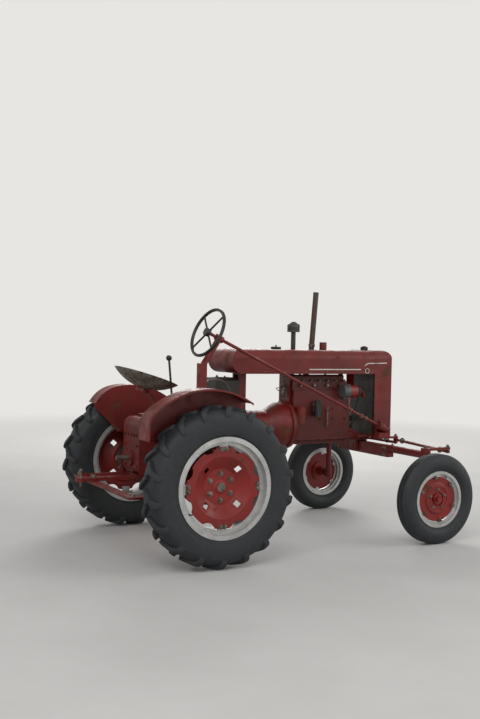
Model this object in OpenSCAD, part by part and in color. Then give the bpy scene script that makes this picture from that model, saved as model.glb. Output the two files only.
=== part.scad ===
/* [Stance] */
// Distance between the rear and front wheel centres
wheelbase = 1803; // [1780:1:1850]
// Distance between the middles of the rear tyres
rear_tread = 1544; // [1530:1:1640]
// Distance between the middles of the front tyres
front_tread = 1532; // [1500:1:1640]
// How far the engine line stands left of the middle
engine_offset = 215; // [205:1:225]
// How far the seat and steering wheel stand right of the middle
seat_offset = 215; // [190:1:230]

/* [Rear wheels] */
// Rear tyre diameter over the lugs
rear_tyre_d = 1050; // [1030:1:1070]
// Rear tyre width
rear_tyre_w = 230; // [215:1:236]
// Rear rim diameter over its flanges
rear_rim_d = 660; // [640:1:680]
// Rear rim width over its flanges
rear_rim_w = 208; // [196:1:212]
// Pressed rear disc diameter
rear_disc_d = 526; // [510:1:530]
// Depth of the bowl in the rear disc
rear_bowl = 48; // [30:1:60]
// Rear axle shaft diameter
rear_axle_d = 52; // [40:1:60]

/* [Front wheels] */
// Front tyre diameter
front_tyre_d = 662; // [650:1:680]
// Front tyre width
front_tyre_w = 136; // [120:1:140]
// Front rim diameter over its flanges
front_rim_d = 414; // [400:1:420]
// Front rim width over its flanges
front_rim_w = 90; // [80:1:100]
// Front stub axle diameter
stub_d = 32; // [26:1:36]

/* [Front axle] */
// Distance between the two kingpins
kingpin_gap = 1280; // [1270:1:1300]
// Kingpin diameter
kingpin_d = 42; // [36:1:46]
// Height of the axle tubes' middle
axle_tube_z = 637; // [625:1:645]
// Reach of the steering arms
steer_arm_l = 215; // [200:1:225]
// Diameter of the tie rods
tie_rod_d = 24; // [18:1:28]

/* [Hood and grille] */
// Height of the hood's top
hood_top_z = 1400; // [1390:1:1420]
// Height of the bolster plate that carries radiator and grille
bolster_top_z = 718; // [716:1:724]
// Height of the hood's lower edge
hood_low_z = 1215; // [1210:1:1230]
// Width of the hood
hood_w = 400; // [390:1:420]
// Thickness of the sheet metal
sheet_t = 3; // [2:0.5:4]
// Length of the fuel tank
tank_l = 675; // [640:1:700]

/* [Engine] */
// Height of the crankshaft
crank_z = 805; // [795:1:815]
// Length of the engine block
block_l = 550; // [530:1:560]
// Width of the engine block
block_w = 210; // [190:1:220]
// Diameter of the cooling fan
fan_d = 380; // [360:1:384]
// Number of fan blades
fan_blades = 4; // [4:1:6]
// Diameter of the exhaust pipe
exhaust_d = 44; // [38:1:48]
// Height of the exhaust pipe's top
exhaust_top_z = 1864; // [1700:1:1900]

/* [Transmission] */
// Length of the transmission case
case_l = 530; // [500:1:540]
// Width of the transmission case
case_w = 300; // [280:1:310]
// Height of the rear axle housings
housing_z = 645; // [635:1:655]
// Diameter of the rear axle housings
housing_d = 130; // [120:1:140]
// Thickness of the drop cases at the rear wheels
drop_w = 120; // [110:1:125]

/* [Driver's place] */
// Diameter of the steering wheel
steering_wheel_d = 376; // [360:1:400]
// Diameter of the steering wheel's rim
steering_rim_d = 24; // [20:1:28]
// Diameter of the steering shaft
steering_shaft_d = 24; // [20:1:28]
// Width of the seat
seat_w = 450; // [420:1:460]
// Radius of the fenders' crowns
fender_r = 571; // [568:1:590]
// Width of the fenders' crowns
fender_w = 150; // [140:1:160]

/* [Drawbar] */
// Drawbar's reach behind the rear axle
drawbar_reach = 629; // [600:1:650]
// Height of the drawbar's tip
drawbar_z = 461; // [440:1:480]
// Diameter of the hitch hole
hitch_hole_d = 22; // [18:1:26]
// Diameter of the power take-off stub
pto_d = 34.9; // [30:0.1:36]

/* [Hidden] */
$fn = 64;
gap = 0.3;
rear_r = rear_tyre_d / 2;
front_r = front_tyre_d / 2;
rear_x = drawbar_reach - (drawbar_reach + wheelbase + front_r) / 2;
front_x = rear_x + wheelbase;
ey = engine_offset;
sy = -seat_offset;
rear_y = rear_tread / 2;
front_y = front_tread / 2;
king_y = kingpin_gap / 2;

// Rear wheel, seen from its middle plane outward
rear_wall = 5;
rear_seat_r = rear_rim_d / 2 - 25;
rear_well_r = rear_seat_r - 28;
rear_flange_t = 6;
disc_t = 6;
disc_face = rear_rim_w / 2 - 34;
disc_hub_face = disc_face - rear_bowl;
disc_hub_r = 118;
disc_bowl_r = 200;
disc_dips = 8;
disc_dip_r = 60;
disc_dip_depth = 24;
hub_flange_r = 105;
hub_flange_t = 16;
rim_clamps = 4;
clamp_w = 60;
clamp_t = 14;

// Rear axle and its cases
drop_in_y = 470;
drop_out_y = drop_in_y + drop_w;
drop_low_r = 150;
drop_top_r = 100;
axle_bore_depth = 70;
case_back_x = rear_x - 208;
case_front_x = case_back_x + case_l;
case_low_z = 485;
case_top_z = 890;
tube_flange_r = 168;

// Engine block, from the bell forward
block_x = 330;
block_front_x = block_x + block_l;
pan_z = 655;
crankcase_top_z = 960;
deck_z = 1080;
head_top_z = 1150;
cover_top_z = 1200;
bell_r = 190;

// Hood sections
tank_front_x = 425;
tank_back_x = tank_front_x - tank_l;
shell_back_x = front_x + 8;
shell_front_x = front_x + 175;
shoulder_r = 70;

// Bolster and radiator
grille_low_z = bolster_top_z + gap;
bolster_plate_t = 16;
bolster_low_z = 672;
cheek_t = 22;
crank_pulley_z = 760;
crank_pulley_r = 60;
fan_pulley_r = 40;
fan_z = 1060;
pulley_x = block_front_x + 28;
pulley_w = 22;
fan_x = block_front_x + 78;
stack_y = ey + 60;
exhaust_x = front_x - 443;
intake_x = tank_front_x + 30;
intake_y = ey + 90;
radiator_x = front_x + 40;
radiator_t = 70;
radiator_neck_r = 24;

// Front axle beam
beam_t = 60;
beam_low_z = 570;
beam_top_z = 660;
beam_right_y = -220;
beam_left_y = 465;
barrel_r = 40;
barrel_low_z = 600;
barrel_top_z = 668;
knuckle_arm_t = 20;
rod_eye_r = 18;
rod_eye_h = 18;
rod_eye_z = 655;
rod_pin_d = 16;
pitman_x = front_x + 59.5;
pitman_y = 70;
pitman_z = 682;
pitman_t = 16;

// Steering shaft, from the gear box up to the wheel
shaft_low = [front_x + 96, -26, 769];
shaft_top = [rear_x + 188, sy, 1513];
shaft_run = shaft_top - shaft_low;
shaft_l = norm(shaft_run);
shaft_lean = acos(shaft_run[2] / shaft_l);
shaft_heading = atan2(shaft_run[1], shaft_run[0]);
post_x = rear_x + 139;
platform_z = 700;

shaft_dir = shaft_run / shaft_l;

// Seat pan: a ball cap, tipped with its back edge up
seat_mid = [rear_x - 281, sy, 1211];
seat_lean = 17.7;
seat_deep = 87;
seat_t = 4;

// Fenders, measured from the rear axle. Columns: side, centre forward, centre height,
// top radius, back corner radius, tail forward, lowest crown height
FENDERS = [
    [-1, -79, 582, fender_r, 120, -503, 830],
    [1, -50, 555, fender_r - 21, 260, -365, 965]];
fender_y = 640;
fender_plate_low = housing_z + drop_top_r + gap;
fender_front_dx = 239;
fender_lip = 12;

red = "firebrick";
dark_red = "darkred";
silver = "silver";
rubber = "dimgray";
iron = "slategray";

// Flat outline helpers
module round_rect(w, h, r) {
    square([w - 2 * r, h], center = true);
    square([w, h - 2 * r], center = true);
    for (sx = [-1, 1], sz = [-1, 1])
        translate([sx * (w / 2 - r), sz * (h / 2 - r)]) circle(r);
}

// Stand a flat outline up so that its first axis runs along X and its second along Z
module along_y(y_low, y_high) {
    translate([0, y_high, 0]) rotate([90, 0, 0]) linear_extrude(y_high - y_low) children();
}

// Stand a flat outline up so that its first axis runs along Y and its second along Z
module along_x(x_low, x_high) {
    translate([x_low, 0, 0]) rotate([90, 0, 90]) linear_extrude(x_high - x_low) children();
}

module box_between(low, high) {
    translate(low) cube(high - low);
}

module rod_between(from, to, r) {
    run = to - from;
    span = norm(run);
    translate(from) rotate([0, acos(run[2] / span), atan2(run[1], run[0])]) cylinder(h = span, r = r);
}

// Wheel frame: local Z points outboard, local X forward; side is 1 left, -1 right
module rear_wheel_place(side) {
    translate([rear_x, side * rear_y, rear_r]) rotate([-90 * side, 0, 0]) children();
}

module front_wheel_place(side) {
    translate([front_x, side * front_y, front_r]) rotate([-90 * side, 0, 0]) children();
}

module ring_step(r_in, r_out, z_low, z_high) {
    translate([r_in, z_low]) square([r_out - r_in, z_high - z_low]);
}

// Tyre section: an arc of rubber held between the two rim flanges
module tyre_section(r_out, width, r_seat, rim_r, between) {
    middle = (r_out + r_seat) / 2;
    arc_r = width * 0.62;
    difference() {
        intersection() {
            ring_step(r_seat + gap, r_out, -width / 2, width / 2);
            translate([middle, 0]) circle(arc_r, $fn = 96);
        }
        for (s = [-1, 1])
            translate([r_seat - 1, s * (between / 2 + 50 - gap)])
                square([2 * (rim_r - r_seat + 2), 100], center = true);
    }
}

// Drop-centre rim section: flange, bead seat and well on each side
module rim_section(rim_r, width, seat_r_, well_r, flange_t, wall, well_half) {
    for (s = [-1, 1]) {
        mirror([0, s < 0 ? 1 : 0]) {
            ring_step(seat_r_ - wall, rim_r, width / 2 - flange_t, width / 2);
            ring_step(seat_r_ - wall, seat_r_, well_half - wall, width / 2);
            ring_step(well_r - wall, seat_r_, well_half - wall, well_half);
        }
    }
    ring_step(well_r - wall, well_r, -well_half, well_half);
}

module rear_tyre(side) {
    color(rubber) rear_wheel_place(side) rotate_extrude($fn = 96)
        tyre_section(rear_r, rear_tyre_w, rear_seat_r, rear_rim_d / 2, rear_rim_w - 2 * rear_flange_t);
}

module rear_rim(side) {
    clamp_in = rear_disc_d / 2 - 26;
    color(silver) rear_wheel_place(side) {
        rotate_extrude($fn = 96)
            rim_section(rear_rim_d / 2, rear_rim_w, rear_seat_r, rear_well_r, rear_flange_t, rear_wall, 60);
        for (k = [0 : rim_clamps - 1])
            rotate([0, 0, k * 360 / rim_clamps])
                box_between([clamp_in, -clamp_w / 2, disc_face - disc_t - clamp_t],
                            [rear_well_r - rear_wall / 2, clamp_w / 2, disc_face - disc_t]);
    }
}

module rear_disc(side) {
    color(red) rear_wheel_place(side) difference() {
        rotate_extrude($fn = 96) polygon([
            [30, disc_hub_face], [disc_hub_r, disc_hub_face], [disc_bowl_r, disc_face],
            [rear_disc_d / 2, disc_face], [rear_disc_d / 2, disc_face - disc_t],
            [disc_bowl_r + 2, disc_face - disc_t], [disc_hub_r + 2, disc_hub_face - disc_t],
            [30, disc_hub_face - disc_t]]);
        for (k = [0 : disc_dips - 1])
            rotate([0, 0, (k + 0.5) * 360 / disc_dips])
                translate([rear_disc_d / 2 - disc_dip_depth + disc_dip_r, 0, disc_face - 20])
                    cylinder(h = 40, r = disc_dip_r);
        for (k = [0 : 3])
            rotate([0, 0, 45 + k * 90])
                box_between([142, -18, disc_hub_face - 30], [178, 18, disc_face + 20]);
    }
}

module rear_axle(side) {
    color(dark_red) rear_wheel_place(side) {
        translate([0, 0, disc_hub_face - disc_t - hub_flange_t]) cylinder(h = hub_flange_t, r = hub_flange_r);
        translate([0, 0, disc_hub_face - disc_t]) cylinder(h = 24, r = 30 - gap);
        translate([0, 0, -(rear_y - drop_out_y + axle_bore_depth - 4)])
            cylinder(h = rear_y - drop_out_y + axle_bore_depth - 4 + disc_hub_face - disc_t, r = rear_axle_d / 2);
    }
}

module final_drive(side) {
    inner_y = side > 0 ? ey + case_w / 2 : case_w / 2 - ey;
    bore_r = rear_axle_d / 2 + gap;
    difference() {
        union() {
            translate([rear_x, side * inner_y, housing_z]) rotate([-90 * side, 0, 0])
                cylinder(h = drop_in_y - inner_y + 2, r = housing_d / 2);
            translate([rear_x, side * inner_y, housing_z]) rotate([-90 * side, 0, 0])
                cylinder(h = 20, r = housing_d / 2 + 25);
            translate([rear_x, side * drop_in_y, rear_r]) rotate([-90 * side, 0, 0]) {
                cylinder(h = drop_w, r = drop_low_r);
                cylinder(h = drop_w + 22, r = 62);
            }
            translate([rear_x, side * drop_in_y, housing_z]) rotate([-90 * side, 0, 0])
                cylinder(h = drop_w, r = drop_top_r);
            along_y(side > 0 ? drop_in_y : -drop_out_y, side > 0 ? drop_out_y : -drop_in_y)
                polygon([
                    [rear_x - drop_low_r * 0.92, rear_r + drop_low_r * 0.39],
                    [rear_x + drop_low_r * 0.92, rear_r + drop_low_r * 0.39],
                    [rear_x + drop_top_r * 0.92, housing_z + drop_top_r * 0.39],
                    [rear_x - drop_top_r * 0.92, housing_z + drop_top_r * 0.39]]);
        }
        translate([rear_x, side * (drop_out_y - axle_bore_depth), rear_r]) rotate([-90 * side, 0, 0])
            cylinder(h = axle_bore_depth + 60, r = bore_r);
    }
}

module final_drives() {
    color(red) {
        final_drive(-1);
        final_drive(1);
    }
}

module transmission_case() {
    color(red) {
        along_y(ey - case_w / 2, ey + case_w / 2)
            translate([(case_back_x + case_front_x) / 2, (case_low_z + case_top_z) / 2])
                round_rect(case_l, case_top_z - case_low_z, 55);
        translate([case_front_x - 30, ey, crank_z]) rotate([0, 90, 0])
            cylinder(h = 30, r = tube_flange_r);
        box_between([case_back_x + 90, ey - 95, case_top_z - 5], [case_front_x - 80, ey + 95, case_top_z + 22]);
        translate([case_back_x - 18, ey, 600]) rotate([0, 90, 0]) cylinder(h = 30, r = 58);
    }
}

module torque_tube() {
    color(red) translate([case_front_x, ey, crank_z]) rotate([0, 90, 0]) rotate_extrude($fn = 96) polygon([
        [0, 0], [tube_flange_r, 0], [tube_flange_r, 24], [118, 40], [118, block_x - case_front_x - 190],
        [bell_r - 12, block_x - case_front_x - 80], [bell_r - 12, block_x - case_front_x - 22],
        [bell_r, block_x - case_front_x - 22], [bell_r, block_x - case_front_x], [0, block_x - case_front_x]]);
}

module pto_stub() {
    color(iron) translate([case_back_x - 18 - 95, ey, 600]) rotate([0, 90, 0]) cylinder(h = 95, d = pto_d);
}

// U-shaped drawbar on the drop cases, with a tongue that runs back from under the case
module drawbar() {
    tip_x = rear_x - drawbar_reach;
    bar_y = ey - 15;
    bar_w = 60;
    tongue_w = 76;
    tongue_t = 24;
    bar_t = 16;
    cross_x = rear_x - 498;
    leg_y = drop_in_y + drop_w / 2;
    bar_low = drawbar_z - tongue_t / 2 - bar_t;
    pad_x = rear_x - drop_low_r - gap;
    color(red) difference() {
        union() {
            box_between([tip_x + tongue_w / 2, bar_y - tongue_w / 2, drawbar_z - tongue_t / 2],
                        [case_back_x + 70, bar_y + tongue_w / 2, drawbar_z + tongue_t / 2]);
            translate([tip_x + tongue_w / 2, bar_y, drawbar_z - tongue_t / 2])
                cylinder(h = tongue_t, r = tongue_w / 2);
            box_between([case_back_x + 10, bar_y - 50, drawbar_z - tongue_t / 2],
                        [case_back_x + 70, bar_y + 50, case_low_z - gap]);
            box_between([cross_x - bar_w / 2, -leg_y - bar_w / 2 + 40, bar_low],
                        [cross_x + bar_w / 2, leg_y + bar_w / 2 - 40, bar_low + bar_t]);
            for (s = [-1, 1]) {
                box_between([cross_x + 10, s * leg_y - bar_w / 2, bar_low],
                            [pad_x, s * leg_y + bar_w / 2, bar_low + bar_t]);
                translate([cross_x + 10, s * (leg_y - 10), bar_low]) cylinder(h = bar_t, r = 40);
                box_between([pad_x - 16, s * leg_y - bar_w / 2, bar_low], [pad_x, s * leg_y + bar_w / 2, rear_r + 40]);
            }
        }
        translate([tip_x + tongue_w / 2, bar_y, drawbar_z - tongue_t]) cylinder(h = 2 * tongue_t, d = hitch_hole_d);
    }
}

module engine_block() {
    half_w = block_w / 2;
    color(red) difference() {
        union() {
            along_y(ey - half_w, ey + half_w) polygon([
                [block_x, crank_z - 110], [block_x, crankcase_top_z], [block_x + 20, crankcase_top_z],
                [block_x + 20, deck_z], [block_front_x - 10, deck_z], [block_front_x - 10, crankcase_top_z],
                [block_front_x, crankcase_top_z], [block_front_x, crank_z - 110]]);
            along_y(ey - half_w + 20, ey + half_w - 20) polygon([
                [block_x + 10, crank_z - 105], [block_front_x - 10, crank_z - 105],
                [block_front_x - 30, pan_z], [block_x + 60, pan_z]]);
            translate([block_x, ey, crank_z]) rotate([0, 90, 0]) cylinder(h = 18, r = bell_r - 6);
            box_between([block_front_x - 1, ey - 80, crank_z - 105],
                        [block_front_x + 20, ey + 80, crankcase_top_z - 30]);
            translate([block_front_x - 10, ey, fan_z]) rotate([0, 90, 0]) cylinder(h = 32, r = 26);
            translate([block_front_x + 10, ey, crank_pulley_z]) rotate([0, 90, 0]) cylinder(h = 40, r = 20);
            translate([pulley_x, ey, crank_pulley_z]) rotate([0, 90, 0]) cylinder(h = pulley_w, r = crank_pulley_r);
        }
        translate([block_front_x + 2, ey, fan_z]) rotate([0, 90, 0]) cylinder(h = 40, r = 10 + gap);
    }
}

module cylinder_head() {
    color(red) {
        box_between([block_x + 20, ey - 82, deck_z], [block_front_x - 10, ey + 82, head_top_z]);
        along_x(block_x + 40, block_front_x - 30)
            translate([ey, (head_top_z + cover_top_z) / 2 - 10]) round_rect(120, cover_top_z - head_top_z + 20, 14);
    }
}

module manifold() {
    log_y = ey + 150;
    log_back = block_x + 205;
    log_l = 314;
    port_w = 50;
    port_pitch = (log_l - port_w) / 3;
    carb_x = log_back + 200;
    color(iron) {
        for (k = [0 : 3])
            box_between([log_back + k * port_pitch, ey + 82 + gap, deck_z + 14],
                        [log_back + k * port_pitch + port_w, log_y, deck_z + 56]);
        along_x(log_back, log_back + log_l) translate([log_y, deck_z + 35]) round_rect(60, 56, 20);
        box_between([carb_x - 35, log_y - 25, 950], [carb_x + 35, log_y + 25, deck_z + 20]);
        translate([carb_x, log_y, 860]) cylinder(h = 110, r = 42);
    }
}

module exhaust_pipe() {
    low = [exhaust_x - 8, stack_y, cover_top_z + 60];
    top = [exhaust_x + 36, stack_y, exhaust_top_z];
    flange = [exhaust_x - 8, ey + 150, deck_z + 63 + gap];
    color("black") difference() {
        union() {
            rod_between(low, top, exhaust_d / 2);
            translate(low) sphere(exhaust_d / 2 + 1.5);
            rod_between(flange + [0, 0, 20], low, exhaust_d / 2);
            translate(flange) cylinder(h = 30, r = 34);
        }
        rod_between(low + 0.6 * (top - low), top + 0.01 * (top - low), exhaust_d / 2 - 3);
    }
}

module air_cleaner() {
    can_y = ey + 175;
    can_r = 62;
    pipe_r = 19;
    elbow_z = 1290;
    cap_z = hood_top_z + 139;
    color(iron) {
        translate([intake_x, can_y, 930]) cylinder(h = 270, r = can_r);
        translate([intake_x, can_y, 1199]) cylinder(h = 12, r = pipe_r + 8);
        rod_between([intake_x, can_y, 1205], [intake_x, intake_y, elbow_z], pipe_r);
        translate([intake_x, intake_y, elbow_z]) sphere(pipe_r + 1.5);
        translate([intake_x, intake_y, elbow_z]) cylinder(h = cap_z + 5 - elbow_z, r = pipe_r);
        translate([intake_x, intake_y, cap_z]) cylinder(h = 60, r = 50);
        translate([intake_x, intake_y, cap_z + 60]) cylinder(h = 23, r1 = 50, r2 = 14);
        box_between([intake_x - 20, ey + block_w / 2 + gap, 1000], [intake_x + 20, can_y, 1040]);
    }
}

module generator() {
    gen_y = ey - 155;
    gen_z = 1075;
    gen_r = 50;
    color(iron) {
        translate([pulley_x - 138, gen_y, gen_z]) rotate([0, 90, 0]) cylinder(h = 130, r = gen_r);
        translate([pulley_x - 10, gen_y, gen_z]) rotate([0, 90, 0]) cylinder(h = 32, r = 12);
        translate([pulley_x, gen_y, gen_z]) rotate([0, 90, 0]) cylinder(h = pulley_w, r = 36);
        box_between([pulley_x - 120, gen_y, gen_z - gen_r - 12],
                    [pulley_x - 40, ey - block_w / 2 - gap, gen_z - gen_r + 10]);
    }
}

module oil_filter() {
    can_r = 38;
    can_x = block_x + 18 + can_r + 2;
    can_y = ey - block_w / 2 - 50;
    color(red) {
        translate([can_x, can_y, 830]) cylinder(h = 125, r = can_r);
        translate([can_x, can_y, 950]) cylinder(h = 18, r = 12);
        box_between([can_x - 15, can_y, 850], [can_x + 15, ey - block_w / 2 - gap, 900]);
    }
}

module ignition_unit() {
    unit_y = ey - block_w / 2 - 45;
    color("black") {
        translate([block_x + 215, unit_y, 880]) cylinder(h = 90, r = 36);
        translate([block_x + 215, unit_y, 965]) cylinder(h = 30, r = 30);
        box_between([block_x + 195, unit_y, 890], [block_x + 235, ey - block_w / 2 - gap, 940]);
    }
}

module fan() {
    shaft_x = block_front_x + 4;
    color(iron) {
        translate([shaft_x, ey, fan_z]) rotate([0, 90, 0]) cylinder(h = fan_x - shaft_x, r = 10);
        translate([pulley_x, ey, fan_z]) rotate([0, 90, 0]) cylinder(h = pulley_w, r = fan_pulley_r);
        translate([pulley_x + 2, ey, fan_z]) rotate([0, 90, 0]) cylinder(h = fan_x - pulley_x + 4, r = 30);
        for (k = [0 : fan_blades - 1])
            translate([fan_x, ey, fan_z]) rotate([k * 360 / fan_blades, 0, 0]) rotate([0, 0, 24])
                box_between([-2, -34, 20], [2, 34, fan_d / 2 - 6]);
    }
}

// One straight run of belt between two pulleys that it passes on their outer side
module belt_run(from, to, r_from, r_to, thick) {
    run = to - from;
    lean = asin((r_from - r_to) / norm(run));
    side = atan2(run[1], run[0]) + lean - 90;
    start = from + (r_from + gap) * [cos(side), sin(side)];
    end = to + (r_to + gap) * [cos(side), sin(side)];
    translate(start) rotate(atan2(end[1] - start[1], end[0] - start[0]))
        translate([0, -thick]) square([norm(end - start), thick]);
}

module fan_belt() {
    thick = 8;
    // Columns: across, height, pulley radius, in the order the belt runs
    wheels = [[ey, crank_pulley_z, crank_pulley_r], [ey, fan_z, fan_pulley_r], [ey - 155, 1075, 36]];
    color("black") along_x(pulley_x + 4, pulley_x + pulley_w - 4)
        for (k = [0 : 2]) {
            a = wheels[k];
            b = wheels[(k + 1) % 3];
            belt_run([a[0], a[1]], [b[0], b[1]], a[2], b[2], thick);
            translate([a[0], a[1]]) difference() {
                circle(a[2] + gap + thick);
                circle(a[2] + gap);
            }
        }
}

module radiator() {
    core_w = hood_w - 50;
    color("black") {
        box_between([radiator_x - radiator_t / 2, ey - core_w / 2, bolster_top_z],
                    [radiator_x + radiator_t / 2, ey + core_w / 2, hood_top_z - 55]);
        translate([radiator_x, ey, hood_top_z - 56]) cylinder(h = 56 + 4, r = radiator_neck_r);
    }
}

// Hood section seen along X, from the lower edge to the rounded shoulders
module hood_outline(w, low, high, r) {
    translate([ey - w / 2, low]) square([w, high - r - low]);
    translate([ey - w / 2 + r, low]) square([w - 2 * r, high - low]);
    for (s = [-1, 1]) translate([ey + s * (w / 2 - r), high - r]) circle(r);
}

module hood() {
    stub_x = front_x - 368;
    color(red) difference() {
        union() {
            along_x(tank_front_x + gap, shell_back_x - gap) difference() {
                hood_outline(hood_w, hood_low_z, hood_top_z, shoulder_r);
                hood_outline(hood_w - 2 * sheet_t, hood_low_z - 5, hood_top_z - sheet_t, shoulder_r - sheet_t);
            }
            translate([stub_x, ey, hood_top_z - 1]) cylinder(h = 63, r = 29);
        }
        translate([intake_x, intake_y, hood_top_z - 20]) cylinder(h = 40, r = 19 + 5);
        translate([exhaust_x, stack_y, hood_top_z - 20]) cylinder(h = 40, r = exhaust_d / 2 + 7);
    }
}

module fuel_tank() {
    tank_h = hood_top_z - hood_low_z;
    color(red) intersection() {
        along_x(tank_back_x, tank_front_x) hood_outline(hood_w, hood_low_z, hood_top_z, shoulder_r);
        along_y(ey - hood_w, ey + hood_w) {
            translate([tank_back_x + tank_h / 2, hood_low_z]) square([tank_l, tank_h]);
            translate([tank_back_x + tank_h / 2, hood_low_z + tank_h / 2]) circle(tank_h / 2);
        }
    }
}

module grille() {
    louver_pitch = 24;
    louvers = floor((hood_top_z - 100 - grille_low_z) / louver_pitch);
    bar_t = 7;
    window_w = hood_w - 60;
    color(red) {
        difference() {
            intersection() {
                along_x(shell_back_x, shell_front_x) difference() {
                    hood_outline(hood_w, grille_low_z, hood_top_z + 4, shoulder_r);
                    hood_outline(hood_w - 2 * sheet_t, grille_low_z - 5, hood_top_z + 4 - sheet_t, shoulder_r - sheet_t);
                }
                along_y(ey - hood_w, ey + hood_w) {
                    translate([shell_back_x, grille_low_z]) square([shell_front_x - shell_back_x - 60, 900]);
                    translate([shell_back_x, grille_low_z])
                        square([shell_front_x - shell_back_x, hood_top_z + 4 - 60 - grille_low_z]);
                    translate([shell_front_x - 60, hood_top_z + 4 - 60]) circle(60);
                }
            }
            translate([radiator_x, ey, hood_top_z - 20]) cylinder(h = 40, r = radiator_neck_r + gap);
        }
        along_x(shell_front_x - 24, shell_front_x - 24 + sheet_t) difference() {
            hood_outline(hood_w - 2 * sheet_t, grille_low_z, hood_top_z - 40, shoulder_r - sheet_t);
            translate([ey - window_w / 2, grille_low_z + 30])
                square([window_w, louvers * louver_pitch - 30]);
        }
        for (k = [1 : louvers])
            translate([shell_front_x - 22, ey, grille_low_z + 8 + k * louver_pitch]) rotate([0, 35, 0])
                box_between([-10, -window_w / 2 - 8, -bar_t / 4], [10, window_w / 2 + 8, bar_t / 4]);
    }
}

module filler_caps() {
    color("black") {
        translate([rear_x + 994, ey, hood_top_z + gap]) cylinder(h = 20, r = 40);
        translate([radiator_x, ey, hood_top_z + 4 + gap]) cylinder(h = 26, r = 31);
    }
}

module front_bolster() {
    plate_low = bolster_top_z - bolster_plate_t;
    main_back = pulley_x + pulley_w + 12;
    main_front = front_x + 57;
    color(red) difference() {
        union() {
            box_between([main_back, ey - 150, plate_low], [shell_front_x - 3, ey + 150, bolster_top_z]);
            box_between([main_back, ey - 80, bolster_low_z], [main_front, ey + 105, bolster_top_z]);
            for (s = [-1, 1]) {
                translate([0, s > 0 ? ey + 82 : ey - 82 - cheek_t, 0]) along_y(0, cheek_t) polygon([
                    [block_front_x + gap, 700], [block_front_x + gap, 772], [block_front_x + 30, 772],
                    [main_back + 60, bolster_top_z], [main_back + 60, plate_low], [main_back, plate_low - 10]]);
                translate([front_x + s * (beam_t / 2 + 14), ey, 0])
                    box_between([-12, -45, 590], [12, 45, bolster_low_z + 1]);
            }
            rod_between([front_x - 60, ey, 620], [front_x + 60, ey, 620], 18);
            translate([pitman_x, pitman_y, plate_low]) cylinder(h = bolster_plate_t, r = 52);
            box_between([pitman_x - 50, -58, plate_low], [pitman_x + 60, pitman_y, bolster_top_z]);
            box_between([pitman_x - 50, -58, plate_low], [pitman_x + 60, 8, 745]);
            rod_between(shaft_low - 0.012 * shaft_run, shaft_low + 0.05 * shaft_run, 33);
        }
        translate([pitman_x, pitman_y, plate_low - 1]) cylinder(h = 12, r = 16 + gap);
        rod_between(shaft_low + 25 * shaft_dir, shaft_low + 200 * shaft_dir, steering_shaft_d / 2 + gap);
    }
}

module front_axle() {
    pin_bore = 18 + gap;
    tube_r = 29;
    ends = [[-king_y, beam_right_y + 60], [beam_left_y - 60, king_y]];
    color(red) difference() {
        union() {
            box_between([front_x - beam_t / 2, beam_right_y, beam_low_z], [front_x + beam_t / 2, beam_left_y, beam_top_z]);
            for (e = ends) rod_between([front_x, e[0], axle_tube_z], [front_x, e[1], axle_tube_z], tube_r);
            for (s = [-1, 1])
                translate([front_x, s * king_y, barrel_low_z]) cylinder(h = barrel_top_z - barrel_low_z, r = barrel_r);
        }
        rod_between([front_x - 50, ey, 620], [front_x + 50, ey, 620], pin_bore);
        for (s = [-1, 1])
            translate([front_x, s * king_y, barrel_low_z - 10]) cylinder(h = 100, r = kingpin_d / 2 + gap);
    }
}

module knuckle(side) {
    arm_z = barrel_top_z + gap;
    color(dark_red) translate([front_x, side * king_y, 0]) {
        translate([0, 0, front_r - 32]) cylinder(h = arm_z + 20 - front_r + 32, r = kingpin_d / 2);
        translate([0, 0, barrel_low_z - gap - 14]) cylinder(h = 14, r = 32);
        translate([0, 0, front_r - 32]) cylinder(h = 64, r = 30);
        translate([0, 0, front_r]) rotate([-90 * side, 0, 0]) cylinder(h = 58, r = 26);
        translate([0, 0, front_r]) rotate([-90 * side, 0, 0]) cylinder(h = front_y - king_y + 20, r = stub_d / 2);
        translate([0, 0, arm_z]) cylinder(h = knuckle_arm_t, r = 34);
        box_between([0, -15, arm_z], [steer_arm_l, 15, arm_z + knuckle_arm_t]);
        translate([steer_arm_l, 0, arm_z]) cylinder(h = knuckle_arm_t, r = 20);
        translate([steer_arm_l, 0, rod_eye_z - rod_eye_h / 2 - 4]) cylinder(h = arm_z - rod_eye_z + rod_eye_h / 2 + 5, r = rod_pin_d / 2);
    }
}

module pitman_arm() {
    plate_low = bolster_top_z - bolster_plate_t;
    color(dark_red) translate([pitman_x, pitman_y, pitman_z]) {
        cylinder(h = pitman_t, r = 30);
        cylinder(h = plate_low + 10 - pitman_z, r = 16);
        box_between([0, -16, 0], [steer_arm_l, 16, pitman_t]);
        translate([steer_arm_l, 0, 0]) cylinder(h = pitman_t, r = 22);
        translate([steer_arm_l, 0, -48]) cylinder(h = 50, r = rod_pin_d / 2);
    }
}

module tie_rod(side, pitman_eye_z) {
    from = [pitman_x + steer_arm_l, pitman_y, pitman_eye_z];
    to = [front_x + steer_arm_l, side * king_y, rod_eye_z];
    color(dark_red) difference() {
        union() {
            rod_between(from, to, tie_rod_d / 2);
            for (p = [from, to]) translate(p - [0, 0, rod_eye_h / 2]) cylinder(h = rod_eye_h, r = rod_eye_r);
        }
        for (p = [from, to]) translate(p - [0, 0, 30]) cylinder(h = 60, r = rod_pin_d / 2 + gap);
    }
}

module front_tyre(side) {
    color(rubber) front_wheel_place(side) rotate_extrude($fn = 96)
        tyre_section(front_r, front_tyre_w, front_rim_d / 2 - 17, front_rim_d / 2, front_rim_w - 8);
}

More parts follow.
